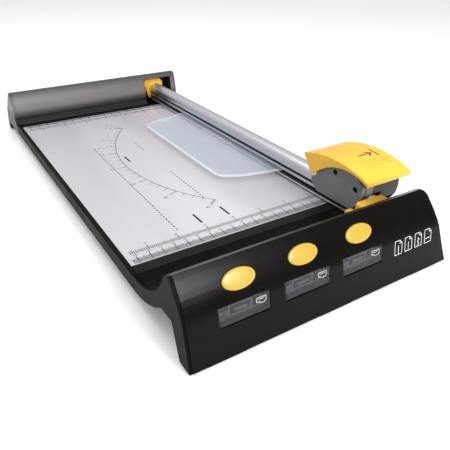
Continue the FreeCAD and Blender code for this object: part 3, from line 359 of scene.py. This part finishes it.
def bed_silver():
    """Satin silver sheet with a faint pearl flake and slow diagonal bands of painted reflection."""
    material, tree, shader = finish_named("satin_silver_sheet")
    place = node(tree, "ShaderNodeTexCoord").outputs["Object"]
    grain_out = use(tree, MOULDED_GRAIN, Scale=3400.0, Waviness=0.4)
    flake = spread(tree, noise(tree, place, 5200.0, 1.0), 0.52, 0.75)
    turned = node(tree, "ShaderNodeMapping", {"Vector": place, "Rotation": (0.0, 0.0, math.radians(35)),
                                              "Scale": (11.0, 1.4, 1.0)}).outputs["Vector"]
    # Slow diagonal bands of painted reflection, which also vary the gloss.
    painted_reflection = spread(tree, noise(tree, turned, 1.0, 2.0, 0.4), 0.35, 0.65)
    body = blend_colours(tree, painted_reflection, (0.445, 0.43, 0.46, 1.0), (0.61, 0.59, 0.625, 1.0))
    body = blend_colours(tree, maths(tree, "MULTIPLY", flake, 0.25), body, (0.72, 0.71, 0.745, 1.0))
    dust_mask = use(tree, SETTLED_DUST, Amount=0.05)["Mask"]
    body = blend_colours(tree, dust_mask, body, (0.5, 0.49, 0.48, 1.0))
    gloss = spread(tree, painted_reflection, 0.0, 1.0, 0.24, 0.36)
    join(tree, shader, body, gloss, grain_out["Height"], 0.000006)
    shader.inputs["Metallic"].default_value = 0.25
    return material


def printed(name, colour, rough):
    """Screen printed ink, a little uneven in its cover."""
    material, tree, shader = finish_named(name)
    place = node(tree, "ShaderNodeTexCoord").outputs["Object"]
    cover = spread(tree, noise(tree, place, 1800.0, 3.0), 0.3, 0.6)
    thin = tuple(c * 0.85 + 0.012 for c in colour)
    tree.links.new(blend_colours(tree, cover, rgba(thin), rgba(colour)), shader.inputs["Base Color"])
    tree.links.new(spread(tree, cover, 0.0, 1.0, rough + 0.12, rough), shader.inputs["Roughness"])
    shader.inputs["Specular IOR Level"].default_value = 0.2
    return material


FINISH["bed_silver"] = bed_silver()
GREY_INK = printed("grey_rule_ink", (0.022, 0.021, 0.024), 0.5)
DARK_INK = printed("dark_rule_ink", (0.012, 0.012, 0.013), 0.45)
WHITE_INK = printed("white_front_ink", (0.82, 0.82, 0.82), 0.45)
BROWN_INK = printed("brown_cap_ink", (0.16, 0.075, 0.012), 0.5)

SLOT_OF = {entry["node"]: entry["material_slot"] for entry in frame["record"]["subparts"]}
BODY_OF = {name: body for body, names in frame["record"]["behaviour"]["bodies"].items()
           for name in names}

for name, part in NODES.items():
    part.data.materials.clear()
    part.data.materials.append(FINISH[SLOT_OF[name]])

# ---------------------------------------------------------------- making pieces


def piece(name, mesh, material, body, replaced=()):
    made = bpy.data.objects.new(name, mesh)
    bpy.context.scene.collection.objects.link(made)
    mesh.materials.clear()
    mesh.materials.append(material)
    if replaced:
        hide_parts(*replaced)
    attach(made, body)
    return made


def bridge(bm, first, second):
    """Join two rings of as many places with a band of faces."""
    for index in range(len(first)):
        after = (index + 1) % len(first)
        bm.faces.new((first[index], first[after], second[after], second[index]))


def flat_bar(bm, rings):
    """A closed bar between two rings of four places each."""
    lower, upper = [[bm.verts.new(Vector(spot) * MM) for spot in ring] for ring in rings]
    bm.faces.new(lower)
    bm.faces.new(list(reversed(upper)))
    for index in range(4):
        after = (index + 1) % 4
        bm.faces.new((lower[index], upper[index], upper[after], lower[after]))


def mesh_from(name, bm, smooth_under=32.0):
    """The finished surface as a mesh, smooth except over edges sharper than the angle in degrees."""
    bmesh.ops.recalc_face_normals(bm, faces=bm.faces)
    mesh = bpy.data.meshes.new(name)
    bm.to_mesh(mesh)
    bm.free()
    for face in mesh.polygons:
        face.use_smooth = True
    mesh.set_sharp_from_angle(angle=math.radians(smooth_under))
    return mesh


WELD_DISTANCE = 2e-6
FLAT_WITHIN = math.radians(0.6)
SAME_STRIP_WITHIN = math.radians(0.3)
SHARP_OVER = math.radians(32.0)
ROUNDED_OVER = math.radians(28.0)
# An edge runs along X when the X share of its direction is over the first, and a face is an end,
# not a part of the drawn surface, when the X share of its normal is over the second.
ALONG_X_OVER, TURNED_TO_X_OVER = 0.99, 0.02
# Borders nearer together than this share of a strip's width are one border.
ONE_BORDER_WITHIN = 0.2


def welded(source):
    """A CAD node's surface with its touching corners joined."""
    bm = bmesh.new()
    bm.from_mesh(NODES[source].data)
    bmesh.ops.remove_doubles(bm, verts=bm.verts, dist=WELD_DISTANCE)
    return bm


def strips_along_x(bm):
    """Each face's flat strip, as a number, for a surface drawn along X."""
    strip_of = {}
    for seed in bm.faces:
        if seed in strip_of:
            continue
        strip_of[seed] = seed.index
        reach = [seed]
        while reach:
            face = reach.pop()
            for other in {near for edge in face.edges for near in edge.link_faces}:
                if other not in strip_of and face.normal.angle(other.normal, 0.0) < SAME_STRIP_WITHIN:
                    strip_of[other] = seed.index
                    reach.append(other)
    return strip_of


def evenly_shaded(source, name):
    """Stands for a CAD node drawn along X, with normals that turn evenly over its curved faces."""
    bm = welded(source)
    bmesh.ops.recalc_face_normals(bm, faces=bm.faces)
    bm.faces.index_update()
    strip_of = strips_along_x(bm)
    turn, spots = {}, {}
    for face, strip in strip_of.items():
        turn[strip] = turn.get(strip, Vector()) + face.normal * face.calc_area()
        spots.setdefault(strip, set()).update(face.verts)
    across, width, borders = {}, {}, {}
    for strip, total in turn.items():
        turn[strip] = total.normalized()
        across[strip] = Vector((1.0, 0.0, 0.0)).cross(turn[strip])
        reach = [across[strip].dot(vert.co) for vert in spots[strip]]
        width[strip] = max(reach) - min(reach)
    for edge in bm.edges:
        if len(edge.link_faces) != 2:
            continue
        first, second = (strip_of[face] for face in edge.link_faces)
        low, high = (vert.co for vert in edge.verts)
        if first == second or abs((high - low).normalized().x) < ALONG_X_OVER:
            continue
        if max(abs(turn[first].x), abs(turn[second].x)) > TURNED_TO_X_OVER:
            continue
        if turn[first].angle(turn[second]) > SHARP_OVER:
            continue
        shared = (turn[first] * width[first] + turn[second] * width[second]).normalized()
        for strip in (first, second):
            borders.setdefault(strip, []).append((across[strip].dot((low + high) / 2), shared))
    turned = []
    for face in bm.faces:
        strip = strip_of[face]
        if strip not in borders:
            turned.extend([None] * len(face.loops))
            continue
        low = min(borders[strip], key=lambda border: border[0])
        high = max(borders[strip], key=lambda border: border[0])
        if high[0] - low[0] < ONE_BORDER_WITHIN * width[strip]:
            reach = [across[strip].dot(vert.co) for vert in spots[strip]]
            far = max(reach) if max(reach) - low[0] > low[0] - min(reach) else min(reach)
            mirrored = (turn[strip] * 2.0 - low[1]).normalized()
            low, high = sorted(((low[0], low[1]), (far, mirrored)), key=lambda border: border[0])
        for loop in face.loops:
            share = (across[strip].dot(loop.vert.co) - low[0]) / (high[0] - low[0])
            turned.append(low[1].lerp(high[1], min(1.0, max(0.0, share))).normalized())
    mesh = mesh_from(name, bm)
    plain = [Vector(corner.vector) for corner in mesh.corner_normals]
    mesh.normals_split_custom_set([own or other for own, other in zip(turned, plain)])
    slot = SLOT_OF[source]
    return piece(name, mesh, FINISH[slot], BODY_OF[source], [source])


def softened(source, name, width, material=None):
    """Stands for a CAD node, with its hard edges rounded by the width in millimetres."""
    bm = welded(source)
    bmesh.ops.dissolve_limit(bm, angle_limit=FLAT_WITHIN, verts=bm.verts, edges=bm.edges,
                             delimit={"NORMAL"})
    mesh = mesh_from(name, bm, 40.0)
    slot = SLOT_OF[source]
    made = piece(name, mesh, material or FINISH[slot], BODY_OF[source], [source])
    soft = made.modifiers.new("rounded edges", "BEVEL")
    soft.width = width * MM
    soft.segments = 2
    soft.limit_method = "ANGLE"
    soft.angle_limit = ROUNDED_OVER
    # Clamped, the cap's rounding is held back by the short edges of its arch.
    soft.use_clamp_overlap = source != "press_cap"
    soft.harden_normals = True


SOFT_EDGES = {
    "front_left_end": ("left_end_cheek", 0.5),
    "front_right_end": ("right_end_cheek", 0.5), "front_ramp": ("sheet_ramp", 0.35),
    "rear_left_end": ("rear_cowl_left_cheek", 0.5),
    "rear_right_end": ("rear_cowl_right_cheek", 0.5), "base_frame": ("bed_carcass", 0.4),
    "rail_front_cap": ("front_rail_foot", 0.5), "rail_rear_cap": ("rear_rail_foot", 0.5),
    "rail_extrusion": ("rail_profile", 0.25), "head_left_shell": ("head_disc", 0.6),
    "head_right_shell": ("head_drum", 0.8), "bed_front_trim": ("bed_edge_trim", 0.2),
    "rubber_feet": ("soft_feet", 0.3), "press_cap": ("thumb_cap", 0.5),
    "blade_cartridge": ("blade_holder", 0.4), "paper_guard": ("paper_window", 0.25),
    "spare_cartridge_left": ("stored_cartridge_left", 0.3),
    "spare_cartridge_middle": ("stored_cartridge_middle", 0.3),
    "spare_cartridge_right": ("stored_cartridge_right", 0.3),
    "cartridge_tray": ("cartridge_rack", 0.3), "head_saddle": ("rail_slider", 0.4),
    "underside_cover": ("base_plate", 0.4), "front_underside": ("front_belly", 0.4),
    "rear_underside": ("rear_belly", 0.3), "cutting_strip": ("cutting_insert", 0.12),
}
EVEN_SKINS = {"front_housing": "front_fascia", "rear_housing": "rear_cowl"}
for source, name in EVEN_SKINS.items():
    evenly_shaded(source, name)
# The drum takes the darker grey as painted shade.
OTHER_FINISH = {"front_left_end": BLACK_CHEEK, "front_ramp": BLACK_CHEEK,
                "head_right_shell": SHADED_DRUM_GREY}
for source, (name, width) in SOFT_EDGES.items():
    softened(source, name, width, material=OTHER_FINISH.get(source))


# Heights over the rail's foot, and depths from its left side, in millimetres.
SLOT_HEIGHTS, GROOVE_HEIGHTS, SHADE_DEPTHS = (1.7, 4.8), (7.3, 9.4), (0.5, 12.0)


def between(value, limits):
    return limits[0] < value < limits[1]


def paint_groove_shade():
    """The rail's groove and slot get the darker metal, painted shade in the recesses."""
    rail = bpy.data.objects["rail_profile"]
    rail.data.materials.append(PAINTED_GROOVE_SHADE)
    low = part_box("rail_extrusion")[0]
    for face in rail.data.polygons:
        depth, height = (face.center.x - low[0]) / MM, (face.center.z - low[2]) / MM
        in_groove = between(height, SLOT_HEIGHTS) or between(height, GROOVE_HEIGHTS)
        if in_groove and between(depth, SHADE_DEPTHS):
            face.material_index = 1


paint_groove_shade()

# ---------------------------------------------------------------- printed guides on the bed

PRINT_SINK = 0.02
PRINT_RISE = 0.03
CUT_LEFT_OF_BLADE = 1.4


def bar(bm, start, end, width, low, high):
    """A flat bar between two places in millimetres, closed on all sides."""
    start, end = Vector(start), Vector(end)
    along = (end - start).normalized()
    side = Vector((-along.y, along.x)) * width / 2
    corners = (start + side, start - side, end - side, end + side)
    flat_bar(bm, [[(corner.x, corner.y, z) for corner in corners] for z in (low, high)])


bed_low, bed_high = (Vector(corner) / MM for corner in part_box("bed_plate"))
CUT_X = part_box("rotary_blade")[0][0] / MM - CUT_LEFT_OF_BLADE
INK_LOW = bed_high.z - PRINT_SINK
INK_HIGH = bed_high.z + PRINT_RISE


def figures(bm, text, place, size, turn=0.0):
    """Plain rule figures standing on the bed, centred on a place in millimetres."""
    curve = bpy.data.curves.new("figures", "FONT")
    curve.body = text
    curve.size = size
    curve.align_x = "CENTER"
    curve.align_y = "CENTER"
    curve.resolution_u = 3
    curve.extrude = (INK_HIGH - INK_LOW) / 2
    writer = bpy.data.objects.new("figures", curve)
    bpy.context.scene.collection.objects.link(writer)
    bpy.context.view_layer.update()
    mesh = bpy.data.meshes.new_from_object(writer)
    move = (Matrix.Scale(MM, 4) @ Matrix.Translation((*place, (INK_LOW + INK_HIGH) / 2))
            @ Matrix.Rotation(turn, 4, "Z"))
    mesh.transform(move)
    bm.from_mesh(mesh)
    bpy.data.meshes.remove(mesh)
    bpy.data.objects.remove(writer)
    bpy.data.curves.remove(curve)


def stroke(bm, start, end, width):
    bar(bm, start, end, width, INK_LOW, INK_HIGH)


# Each scale: pitch, first mark, marks to a number, marks to a half; room kept free at the far end;
# where marks start and how far the number, half and plain marks reach; their widths; where the
# figures stand and their size.
CENTIMETRES = {"pitch": 1.0, "first": 5, "number": 10, "half": 5, "room": 2.0, "start": 0.9,
               "reach": (8.2, 7.0, 5.6), "width": (0.8, 0.52), "figure": 10.9, "size": 3.2}
INCHES = {"pitch": 25.4 / 16, "first": 4, "number": 16, "half": 8, "room": 3.0, "start": 12.8,
          "reach": (6.0, 5.0, 4.0), "width": (0.8, 0.6), "figure": 21.2, "size": 4.0}
RULE_INSET = 9.0


def rule_along(bm, heavy, edge_y, inward):
    """A centimetre rule at the bed's edge and an inch rule inside it, both counted from the cut."""
    for scale in (CENTIMETRES, INCHES):
        pitch, start = scale["pitch"], scale["start"]
        for count in range(scale["first"], int((CUT_X - bed_low.x - scale["room"]) / pitch)):
            x = CUT_X - count * pitch
            if x > bed_high.x - RULE_INSET:
                continue
            numbered, halfway = count % scale["number"] == 0, count % scale["half"] == 0
            reach = scale["reach"][0 if numbered else (1 if halfway else 2)]
            stroke(heavy if numbered else bm, (x, edge_y + inward * start),
                   (x, edge_y + inward * (start + reach)), scale["width"][0 if numbered else 1])
            if numbered:
                figures(heavy, str(count // scale["number"]), (x, edge_y + inward * scale["figure"]),
                        scale["size"], 0.0 if inward > 0 else math.pi)


DASH, DASH_GAP, DASH_WIDTH = 1.8, 2.6, 1.1


def dotted(bm, start, end):
    start, end = Vector(start), Vector(end)
    length = (end - start).length
    along = (end - start) / length
    at = 0.0
    while at + DASH <= length:
        stroke(bm, start + along * at, start + along * (at + DASH), DASH_WIDTH)
        at += DASH + DASH_GAP


ARC_CENTRE = Vector((120.0, 0.0))
ARC_RADIUS = 167.0
ARC_REACH = 39.5
ARC_PIECES = 60
ARC_STEP = 3.25
ARC_WIDTH = 0.55
# How far the mark of a number and a plain mark reach beyond the arc, and their widths.
ARC_REACHES, ARC_MARK_WIDTHS = (9.0, 5.0), (0.65, 0.45)
ARC_FIGURE, ARC_FIGURE_SIZE = 14.5, 4.0
ARC_END, ARC_END_WIDTH = 12.0, 0.4


def angle_scale(bm, heavy):
    """Arc with a mark at every step, and a number of degrees beyond every fourth."""
    def spot(radius, degrees):
        turn = math.radians(180 - degrees)
        return ARC_CENTRE + Vector((math.cos(turn), math.sin(turn))) * radius
    turns = [-ARC_REACH + 2 * ARC_REACH * index / ARC_PIECES for index in range(ARC_PIECES + 1)]
    for first, second in zip(turns, turns[1:]):
        stroke(bm, spot(ARC_RADIUS, first), spot(ARC_RADIUS, second), ARC_WIDTH)
    for index in range(-12, 13):
        degrees = index * ARC_STEP
        plain = index % 4 != 0
        stroke(bm if plain else heavy, spot(ARC_RADIUS, degrees),
               spot(ARC_RADIUS + ARC_REACHES[plain], degrees), ARC_MARK_WIDTHS[plain])
        if not plain:
            text = str(90 - abs(index) * 15 // 4)
            figures(heavy, text, spot(ARC_RADIUS + ARC_FIGURE, degrees), ARC_FIGURE_SIZE)
    for end in (-ARC_REACH, ARC_REACH):
        stroke(heavy, spot(ARC_RADIUS, end), spot(ARC_RADIUS + ARC_END, end), ARC_END_WIDTH)


# Places on the bed, (x, y) in millimetres: dotted sheet outlines, bold bars and a fine pointer.
SHEET_OUTLINES = (((-59.5, -133.0), (-59.5, 60.0)), ((-59.5, 60.0), (-39.5, 60.0)),
                  ((-15.5, -96.0), (-15.5, -30.0)), ((-15.5, 30.0), (-15.5, 62.0)))
BOLD_BARS = tuple(((CUT_X - away, -133.5), (CUT_X - away, -118.5)) for away in (127.0, 101.6)) + (
    ((-39.5, 9.5), (-39.5, 25.0)),)
POINTER = (((-19.5, 128.0), (-9.5, 110.0)), ((-27.0, 116.0), (-19.5, 128.0)))
BAR_WIDTH, POINTER_WIDTH = 1.8, 0.4


def print_bed():
    """Rules on both edges, the angle arc, and the guides that sheets are laid against."""
    fine, heavy = bmesh.new(), bmesh.new()
    rule_along(fine, heavy, bed_low.y, 1)
    rule_along(fine, heavy, bed_high.y, -1)
    angle_scale(fine, heavy)
    for start, end in SHEET_OUTLINES:
        dotted(heavy, start, end)
    for start, end in BOLD_BARS:
        stroke(heavy, start, end, BAR_WIDTH)
    for start, end in POINTER:
        stroke(fine, start, end, POINTER_WIDTH)
    piece("bed_fine_print", mesh_from("bed_fine_print", fine), GREY_INK, "base")
    piece("bed_bold_print", mesh_from("bed_bold_print", heavy), DARK_INK, "base")


print_bed()

# ---------------------------------------------------------------- pictograms on the front face

FACE_FOOT = Vector((-250.0, 1.2))
FACE_KNEE = Vector((-244.7, 31.9))


def on_face(x, height, proud=0.0):
    """A place on the front face's flat lower part, at a height above the desk, in millimetres."""
    along = (FACE_KNEE - FACE_FOOT).normalized()
    y, z = FACE_FOOT + along * ((height - FACE_FOOT.y) / along.y)
    return Vector((x, y - along.y * proud, z + along.x * proud))


INK_ON_FACE = (-0.02, 0.05)


def face_stroke(bm, start, end, width, origin=on_face):
    """A raised ink line between two places of a face, which origin turns into places in space."""
    start, end = Vector(start), Vector(end)
    along = (end - start).normalized() * width / 2
    side = Vector((-along.y, along.x))
    corners = (start - along + side, start - along - side, end + along - side, end + along + side)
    flat_bar(bm, [[origin(corner.x, corner.y, proud) for corner in corners] for proud in INK_ON_FACE])


def face_path(bm, points, width, origin=on_face):
    for first, second in zip(points, points[1:]):
        face_stroke(bm, first, second, width, origin)


PICTOGRAM_PLACES, PICTOGRAM_FOOT = (54.4, 64.6, 75.0, 85.4), 22.4
OUTLINE_WIDTH, FOLD_WIDTH, CUT_WIDTH = 0.36, 0.3, 0.45


def sheet_pictogram(bm, x, foot, kind):
    """A small outlined sheet with a folded corner, and the line its cut would take."""
    wide, tall, fold = 7.0, 10.4, 2.3
    face_path(bm, [(x, foot), (x, foot + tall), (x + wide - fold, foot + tall),
                   (x + wide, foot + tall - fold), (x + wide, foot), (x, foot)], OUTLINE_WIDTH)
    face_path(bm, [(x + wide - fold, foot + tall), (x + wide - fold, foot + tall - fold),
                   (x + wide, foot + tall - fold)], FOLD_WIDTH)
    middle = x + wide / 2
    if kind == 0:
        cuts = [((middle, 0.8), (middle, 6.4))]
    elif kind == 1:
        cuts = [((middle, 0.8 + step * 1.6), (middle, 1.6 + step * 1.6)) for step in range(4)]
    elif kind == 2:
        cuts = [((middle - 0.9, 0.8), (middle + 0.9, 2.3), (middle - 0.9, 3.8), (middle + 0.9, 5.3),
                 (middle - 0.4, 6.4))]
    else:
        cuts = [((x + 1.2, 3.4), (x + wide - 1.2, 3.4))]
    for cut in cuts:
        face_path(bm, [(across, foot + up) for across, up in cut], CUT_WIDTH)


def print_front():
    bm = bmesh.new()
    for kind, x in enumerate(PICTOGRAM_PLACES):
        sheet_pictogram(bm, x, PICTOGRAM_FOOT, kind)
    piece("front_pictograms", mesh_from("front_pictograms", bm), WHITE_INK, "base")


print_front()

# ---------------------------------------------------------------- storage windows and cartridges

DOOR_TAGS = ("left", "middle", "right")


def block(bm, low, high):
    """A closed block between two corners in millimetres, with its edges cut back a little."""
    made = bmesh.ops.create_cube(bm, size=1.0)["verts"]
    size = [b - a for a, b in zip(low, high)]
    middle = [(a + b) / 2 for a, b in zip(low, high)]
    for vert in made:
        vert.co = Vector([(m + v * s) * MM for m, v, s in zip(middle, vert.co, size)])
    edges = list({edge for vert in made for edge in vert.link_edges})
    bmesh.ops.bevel(bm, geom=edges, offset=min(size) * 0.16 * MM, segments=2, affect="EDGES")


def storage_window(tag):
    """Smoked window with its hard edges rounded, and a small cartridge mark on it."""
    softened(f"storage_door_{tag}", f"window_{tag}", 0.35)
    low, high = (Vector(corner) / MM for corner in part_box(f"storage_door_{tag}"))
    middle = (low.x + high.x) / 2
    bm = bmesh.new()
    left, foot = middle + 8.2, 29.0
    outline = ((0.0, 1.0), (0.0, 3.8), (6.8, 3.8), (6.8, 1.4), (5.6, 0.0), (2.4, 0.0), (1.8, 1.0),
               (0.0, 1.0))
    face_path(bm, [(left + x, foot + z) for x, z in outline], 0.24)
    face_path(bm, [(left + 1.2, foot + 2.7), (left + 5.4, foot + 2.7)], 0.2)
    piece(f"window_mark_{tag}", mesh_from(f"window_mark_{tag}", bm), WHITE_INK, f"door_{tag}")


def cartridge_details(tag):
    """Ribs, latch, and black blocks of painted shade for the blade slot and openings, on the front of a
    stored cartridge.
    """
    low, high = (Vector(corner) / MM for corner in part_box(f"spare_cartridge_{tag}"))
    middle, face = (low.x + high.x) / 2, low.y
    pale, dark = bmesh.new(), bmesh.new()
    # The blade's slot with the latch in it, a small opening over three ribs, and a tall one; the black
    # blocks of the slot and openings are painted shade.
    block(dark, (middle - 7.0, face - 0.1, low.z + 2.4), (middle + 7.0, face + 0.8, high.z - 2.2))
    block(pale, (middle - 4.6, face - 0.5, low.z + 3.8), (middle + 4.6, face + 0.3, high.z - 3.6))
    block(dark, (middle - 13.6, face - 0.1, high.z - 3.4), (middle - 8.4, face + 0.8, high.z - 1.6))
    for index in range(3):
        left = middle - 13.2 + index * 1.7
        block(pale, (left, face - 0.2, low.z + 1.8), (left + 0.8, face + 0.8, low.z + 5.2))
    block(dark, (middle + 9.0, face - 0.1, low.z + 1.8), (middle + 13.4, face + 0.8, high.z - 1.8))
    piece(f"cartridge_latch_{tag}", mesh_from(f"cartridge_latch_{tag}", pale), FINISH["cartridge_grey"],
          "base")
    piece(f"cartridge_slot_{tag}", mesh_from(f"cartridge_slot_{tag}", dark), FINISH["black_plastic"],
          "base")


# Where a button's own axes start: centre (y, z) in millimetres, and its lean about X.
BUTTON_CENTRE = (-237.5, 46.4)
BUTTON_LEAN = math.radians(59.6)
BUTTON_HALF = (11.4, 6.4)
BUTTON_STEPS = 72
# How much wider and shorter the hidden foot's halves are, and the heights that it spans.
FOOT_WIDER, FOOT_SHORTER, FOOT_SPAN = 0.9, 0.2, (-5.0, -3.6)
# Each ring's share of the half sizes, and its height over the key's face plane.
BUTTON_RINGS = ((1.0, -3.6), (1.0, 0.25), (0.985, 0.6), (0.955, 0.82), (0.915, 0.9), (0.885, 0.88),
                (0.868, 0.8), (0.85, 0.86), (0.8, 0.93), (0.6, 1.04), (0.35, 1.12), (0.12, 1.15))


def release_key(tag):
    """Oval key with a rolled rim and a faintly domed face, on its wider foot."""
    low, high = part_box(f"release_button_{tag}")
    move = (Matrix.Translation(((low[0] + high[0]) / 2, BUTTON_CENTRE[0] * MM, BUTTON_CENTRE[1] * MM))
            @ Matrix.Rotation(BUTTON_LEAN, 4, "X"))
    bm = bmesh.new()
    foot = [((BUTTON_HALF[0] + FOOT_WIDER) / BUTTON_HALF[0],
             (BUTTON_HALF[1] - FOOT_SHORTER) / BUTTON_HALF[1], z) for z in FOOT_SPAN]
    rings = []
    for wide, tall, z in foot + [(share, share, z) for share, z in BUTTON_RINGS]:
        ring = []
        for index in range(BUTTON_STEPS):
            turn = 2 * math.pi * index / BUTTON_STEPS
            spot = Vector((math.cos(turn) * BUTTON_HALF[0] * wide,
                           math.sin(turn) * BUTTON_HALF[1] * tall, z)) * MM
            ring.append(bm.verts.new(move @ spot))
        rings.append(ring)
    for first, second in zip(rings, rings[1:]):
        bridge(bm, first, second)
    bm.faces.new(list(reversed(rings[0])))
    bm.faces.new(rings[-1])
    piece(f"release_key_{tag}", mesh_from(f"release_key_{tag}", bm, 50.0), SHADED_KEY_YELLOW,
          f"button_{tag}", [f"release_button_{tag}"])


for tag in DOOR_TAGS:
    storage_window(tag)
    cartridge_details(tag)
    release_key(tag)

# ---------------------------------------------------------------- cutting head details

CAP_CREST_Y = -166.8
CAP_ARC = 104.0
CAP_CENTRE_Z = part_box("press_cap")[1][2] / MM - CAP_ARC


def on_cap(x, y, proud=0.0):
    """A place on the cap's arched top, in millimetres."""
    reach = CAP_ARC + proud
    lean = math.asin((y - CAP_CREST_Y) / CAP_ARC)
    return Vector((x, CAP_CREST_Y + reach * math.sin(lean), CAP_CENTRE_Z + reach * math.cos(lean)))


RIDGE_WIDTH, RIDGE_HEIGHT = 0.9, 0.35
RIDGE_PROFILE = ((-0.5, -0.3), (-0.36, 0.55), (-0.14, 0.95), (0.14, 0.95), (0.36, 0.55), (0.5, -0.3))
RIDGE_ENDS = (80.0, 106.0)


def cap_ridge(bm, y):
    """A low rounded grip ridge across the cap."""
    left, right = RIDGE_ENDS
    ends = []
    for x, shrink in ((left, 0.2), (left + 0.5, 0.8), (left + 1.2, 1.0), (right - 1.2, 1.0),
                      (right - 0.5, 0.8), (right, 0.2)):
        ends.append([bm.verts.new(on_cap(x, y + across * RIDGE_WIDTH * shrink,
                                         rise * RIDGE_HEIGHT * shrink) * MM)
                     for across, rise in RIDGE_PROFILE])
    for first, second in zip(ends, ends[1:]):
        bridge(bm, first, second)
    bm.faces.new(ends[0])
    bm.faces.new(list(reversed(ends[-1])))


def print_cap():
    """A press-down arrow over a bar, and grip ridges before and behind it."""
    bm = bmesh.new()
    middle, y, width = 95.0, -172.0, 1.6
    tip, stop = middle + 3.8, middle + 7.4
    face_path(bm, [(middle - 9.0, y), (middle + 3.4, y)], width, on_cap)
    for side in (-1, 1):
        face_path(bm, [(tip - 1.4 * step, y + side * 1.15 * step) for step in range(4)], width, on_cap)
    face_path(bm, [(stop, y + step) for step in range(-5, 6)], width, on_cap)
    piece("cap_press_mark", mesh_from("cap_press_mark", bm), BROWN_INK, "press_unit")
    ridges = bmesh.new()
    for y in (-181.5, -185.0, -188.5, -151.0, -154.5, -158.0):
        cap_ridge(ridges, y)
    piece("cap_grip_ridges", mesh_from("cap_grip_ridges", ridges), FINISH["yellow"], "press_unit")


# The visible front stretch of the head's outline, as (y, z) in millimetres.
HEAD_RIM = ((-191.0, 56.2), (-194.6, 53.6), (-196.6, 51.6), (-197.2, 50.0), (-197.25, 46.0),
            (-196.75, 42.6), (-195.5, 39.2), (-193.6, 35.9), (-191.2, 32.9), (-188.0, 30.05),
            (-184.0, 28.5))


HEAD_MIDDLE = Vector((-170.0, 44.0))
SEAM_SINK = 0.5


def rim_band(bm, x_from, x_to, proud):
    """A closed band that follows the head's rim between two places across it."""
    rings = []
    for spot in HEAD_RIM:
        spot = Vector(spot)
        out = (spot - HEAD_MIDDLE).normalized()
        outer, inner = spot + out * proud, spot - out * SEAM_SINK
        rings.append([bm.verts.new(Vector((x, p.x, p.y)) * MM)
                      for x, p in ((x_from, inner), (x_from, outer), (x_to, outer), (x_to, inner))])
    for first, second in zip(rings, rings[1:]):
        bridge(bm, first, second)
    bm.faces.new(rings[0])
    bm.faces.new(list(reversed(rings[-1])))


def head_details():
    """Dark line where the two halves of the head meet."""
    bm = bmesh.new()
    rim_band(bm, 70.6, 71.3, 0.06)
    piece("head_seam_line", mesh_from("head_seam_line", bm), FINISH["black_plastic"], "cutting_head")


# The setting marks' right ends and first place along the rail, their pitch, lengths and width.
MARKS_X, MARKS_Y, MARK_PITCH, MARK_LENGTHS, MARK_WIDTH = 66.4, -12.0, 6.5, (6.0, 9.0), 0.5


def guard_details():
    """Painted highlight on the edges, and short white setting marks beside the rail."""
    window = bpy.data.objects["paper_window"]
    window.data.materials.append(GUARD_EDGE_HIGHLIGHT)
    for face in window.data.polygons:
        if abs(face.normal.z) < 0.9:
            face.material_index = 1
    window.modifiers["rounded edges"].material = 1
    low, high = (Vector(corner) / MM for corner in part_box("paper_guard"))
    bm = bmesh.new()
    for index in range(9):
        y = MARKS_Y + index * MARK_PITCH
        bar(bm, (MARKS_X - MARK_LENGTHS[index % 2], y), (MARKS_X, y), MARK_WIDTH,
            high.z - PRINT_SINK, high.z + PRINT_RISE)
    piece("guard_marks", mesh_from("guard_marks", bm), WHITE_INK, "rail")


print_cap()
head_details()
guard_details()

# ---------------------------------------------------------------- floor, light and camera


def studio():
    bm = bmesh.new()
    bmesh.ops.create_grid(bm, x_segments=8, y_segments=8, size=4.0)
    floor_mesh = bpy.data.meshes.new("studio_floor")
    bm.to_mesh(floor_mesh)
    bm.free()
    floor = bpy.data.objects.new("studio_floor", floor_mesh)
    bpy.context.scene.collection.objects.link(floor)
    material, tree, shader = finish_named("pale_studio_floor")
    shader.inputs["Base Color"].default_value = (0.95, 0.95, 0.95, 1.0)
    shader.inputs["Roughness"].default_value = 0.9
    shader.inputs["Specular IOR Level"].default_value = 0.1
    floor_mesh.materials.append(material)

    world = bpy.data.worlds.new("soft_room")
    world.use_nodes = True
    tree = world.node_tree
    way = node(tree, "ShaderNodeTexCoord").outputs["Generated"]
    height = node(tree, "ShaderNodeSeparateXYZ", {0: way}).outputs["Z"]
    shade = spread(tree, height, 0.05, 0.75, 0.34, 0.9)
    background = tree.nodes["Background"]
    background.inputs["Color"].default_value = (1.0, 0.995, 1.0, 1.0)
    tree.links.new(shade, background.inputs["Strength"])
    bpy.context.scene.world = world

    for name, place, aim, size, power in (
            ("overhead_softbox", (-0.25, 0.35, 1.3), (0.0, 0.0, 0.0), (0.8, 0.8), 7.0),
            ("left_softbox", (-1.2, -0.2, 0.7), (0.0, 0.0, 0.03), (0.6, 0.9), 4.0),
            ("front_softbox", (0.2, -1.33, 0.68), (-0.05, -0.2, 0.03), (0.46, 0.42), 17.0)):
        lamp = bpy.data.lights.new(name, "AREA")
        lamp.shape = "RECTANGLE"
        lamp.size, lamp.size_y = size
        lamp.energy = power
        holder = bpy.data.objects.new(name, lamp)
        holder.location = place
        holder.rotation_euler = (Vector(aim) - Vector(place)).to_track_quat("-Z", "Y").to_euler()
        bpy.context.scene.collection.objects.link(holder)


def camera():
    lens = bpy.data.cameras.new("viewpoint")
    lens.sensor_width = 36.0
    lens.lens = 39.3
    lens.clip_start = 0.01
    holder = bpy.data.objects.new("viewpoint", lens)
    holder.location = (-0.1983, -0.4279, 0.2165)
    holder.rotation_euler = Vector((0.453, 0.7333, -0.507)).to_track_quat("-Z", "Y").to_euler()
    bpy.context.scene.collection.objects.link(holder)
    bpy.context.scene.camera = holder


studio()
camera()
bpy.context.scene.view_settings.view_transform = "Standard"
